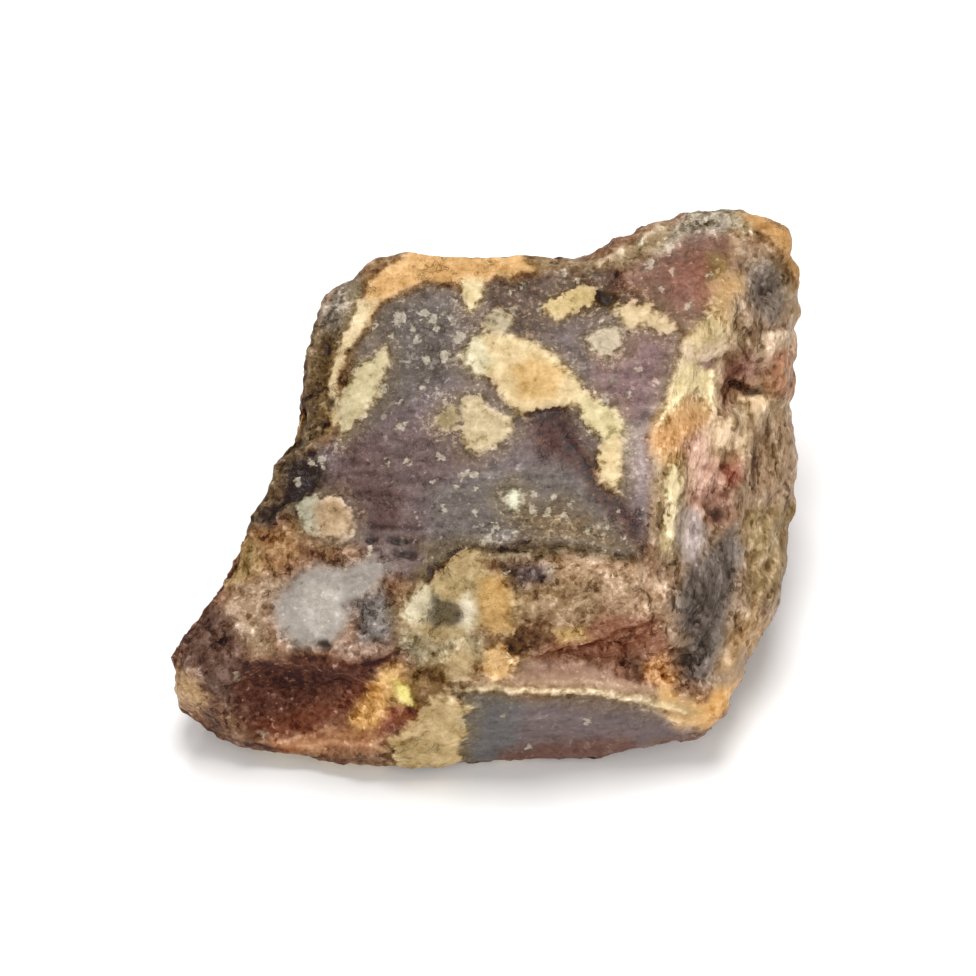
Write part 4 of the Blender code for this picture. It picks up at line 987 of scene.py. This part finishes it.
clean_marks = total(swing(brushed, 0.34), swing(mottle, 0.4), swing(pepper, 0.22), pores,
                    part_of(specks, 0.2), part_of(dusty_cover, 0.03), part_of(grain_marks, 0.25),
                    part_of(dust, 0.2))
clean_marks = maths("MULTIPLY", clean_marks, maths("MULTIPLY", strength, mix(calm_cover, 1.0, 0.6)))

# One over another: crumbs and rinds on the ground, then the cherry hollow, the lines and the pits.
shade = total(ground_tone, mix(clean_cover, crust_marks, clean_marks))
shade = mix(part_of(crumb_cover, 0.85), shade, total(CRUMB_TONE, swing(pepper, 0.55)))
shade = total(shade, part_of(rind_shadow, -0.05))
rind_shade = total(field("rind_tone"), swing(chips, 0.4), swing(blots, 0.35), swing(pepper, 0.2),
                   swing(flakes, 0.2))
worn_through = maths("MULTIPLY", band(chips, 0.40, 0.32), mix(neat_cover, 0.45, 0.1))
rind_body = maths("MULTIPLY", rind_cover, maths("SUBTRACT", 0.97, worn_through))
shade = mix(rind_body, shade, rind_shade)
cherry_shade = total(ground_tone, swing(mottle, 0.8), swing(pepper, 0.4), part_of(specks, 0.25),
                     part_of(grain_marks, 0.7))
shade = mix(cherry_cover, shade, cherry_shade)
shade = total(shade, maths("MULTIPLY", field("lines"), total(0.9, swing(flakes, 2.0))))
shade = mix(part_of(pit_cover, 0.85), shade, field("pit_tone"))

place_tinge = node("Attribute", attribute_name="tinge").outputs["Vector"]
place_tinge = vector_maths("SCALE", {0: place_tinge, "Scale": band(shade, 0.0, 0.15, 0.85, 1.0)})
levels = vector_maths("MAXIMUM", {0: vector_maths("ADD", {0: place_tinge, 1: shade}), 1: DARKEST})
colour = node("Gamma", {"Color": levels, "Gamma": SCREEN_GAMMA}).outputs[0]
tree.links.new(colour, shader.inputs["Base Color"])

roughness = mix(clean_cover, band(chips, 0.35, 0.65, *CRUST_ROUGHNESS), CLEAN_ROUGHNESS)
roughness = mix(rind_cover, roughness, RIND_ROUGHNESS)
roughness = mix(cherry_cover, roughness, CHERRY_ROUGHNESS)
tree.links.new(roughness, shader.inputs["Roughness"])

see_through = maths("MULTIPLY", clean_cover, CLEAN_SEE_THROUGH)
see_through = mix(rind_cover, see_through, maths("MULTIPLY", neat_cover, NEAT_SEE_THROUGH))
see_through = mix(cherry_cover, see_through, CHERRY_SEE_THROUGH)
tree.links.new(see_through, shader.inputs["Transmission Weight"])
shader.inputs["IOR"].default_value = AMBER_IOR
shader.inputs["Specular IOR Level"].default_value = AMBER_SPECULAR
absorb = node("VolumeAbsorption", {"Color": AMBER_TINT, "Density": AMBER_DENSITY})
tree.links.new(absorb.outputs[0], tree.nodes["Material Output"].inputs["Volume"])

fine_relief = total(swing(chips, 0.9), part_of(maths("SUBTRACT", light_grains, dark_grains), 0.06),
                    part_of(cracks, -0.25))
fine_relief = maths("MULTIPLY", fine_relief, band(field("clean"), 0.8, -0.8, 0.2, 1.0))
bump = node("Bump", {"Height": fine_relief, "Distance": MM, "Strength": 1.0})
tree.links.new(bump.outputs[0], shader.inputs["Normal"])

lump.data.materials.clear()
lump.data.materials.append(finish)
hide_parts("amber_lump")
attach(lump, "root")


# The floor. A flat sheet of matt white paper lies under the lump and runs far past the view, so that it
# has no edge and takes only a soft shadow.
FLOOR_HALF = 1.5
PAPER_COLOUR = (0.97, 0.965, 0.96, 1)
PAPER_ROUGHNESS = 0.7
bm = bmesh.new()
bmesh.ops.create_grid(bm, x_segments=1, y_segments=1, size=FLOOR_HALF)
floor_mesh = bpy.data.meshes.new("floor")
bm.to_mesh(floor_mesh)
bm.free()
floor = bpy.data.objects.new("floor", floor_mesh)
bpy.context.scene.collection.objects.link(floor)
paper = bpy.data.materials.new("white_paper")
paper.use_nodes = True
paper.node_tree.nodes["Principled BSDF"].inputs["Base Color"].default_value = PAPER_COLOUR
paper.node_tree.nodes["Principled BSDF"].inputs["Roughness"].default_value = PAPER_ROUGHNESS
floor_mesh.materials.append(paper)


# The light. A pale studio lies all round, with a broad soft lamp above, a small one behind for the glint on
# the clean faces, and two soft ones that fill the front and the right flank.
STUDIO_COLOUR = (1.0, 0.99, 0.98, 1)
STUDIO_STRENGTH = 0.5
LIT_POINT = Vector((0, 0, 0.014))
LAMPS = {
    "key_above": ((0.0, 0.1, 0.52), 0.24, 1.9),
    "glint_behind": ((-0.12, 0.4, 0.4), 0.08, 0.35),
    "fill_front": ((-0.2, -0.48, 0.24), 0.4, 1.0),
    "fill_right": ((0.45, -0.22, 0.2), 0.3, 0.5),
}
world = bpy.data.worlds.new("studio")
bpy.context.scene.world = world
world.use_nodes = True
world.node_tree.nodes["Background"].inputs["Color"].default_value = STUDIO_COLOUR
world.node_tree.nodes["Background"].inputs["Strength"].default_value = STUDIO_STRENGTH
for name, (where, size, power) in LAMPS.items():
    lamp = bpy.data.lights.new(name, "AREA")
    lamp.shape = "SQUARE"
    lamp.size = size
    lamp.energy = power
    holder = bpy.data.objects.new(name, lamp)
    holder.location = where
    holder.rotation_euler = (LIT_POINT - Vector(where)).to_track_quat("-Z", "Y").to_euler()
    bpy.context.scene.collection.objects.link(holder)


# The camera. It stands where the eye does, in front of the lump and well above it, with a long lens that
# takes in the view's width at the lump's middle.
VIEW_WIDTH = 97
SENSOR = 36
NEAREST_SEEN = 0.01
camera_data = bpy.data.cameras.new("camera")
camera_data.sensor_width = SENSOR
camera_data.lens = SENSOR * EYE_DISTANCE / VIEW_WIDTH
camera_data.clip_start = NEAREST_SEEN
camera = bpy.data.objects.new("camera", camera_data)
camera.location = EYE * MM
camera.rotation_euler = Vector(TO_EYE).to_track_quat("Z", "Y").to_euler()
bpy.context.scene.collection.objects.link(camera)
bpy.context.scene.camera = camera
bpy.context.scene.view_settings.view_transform = "Standard"
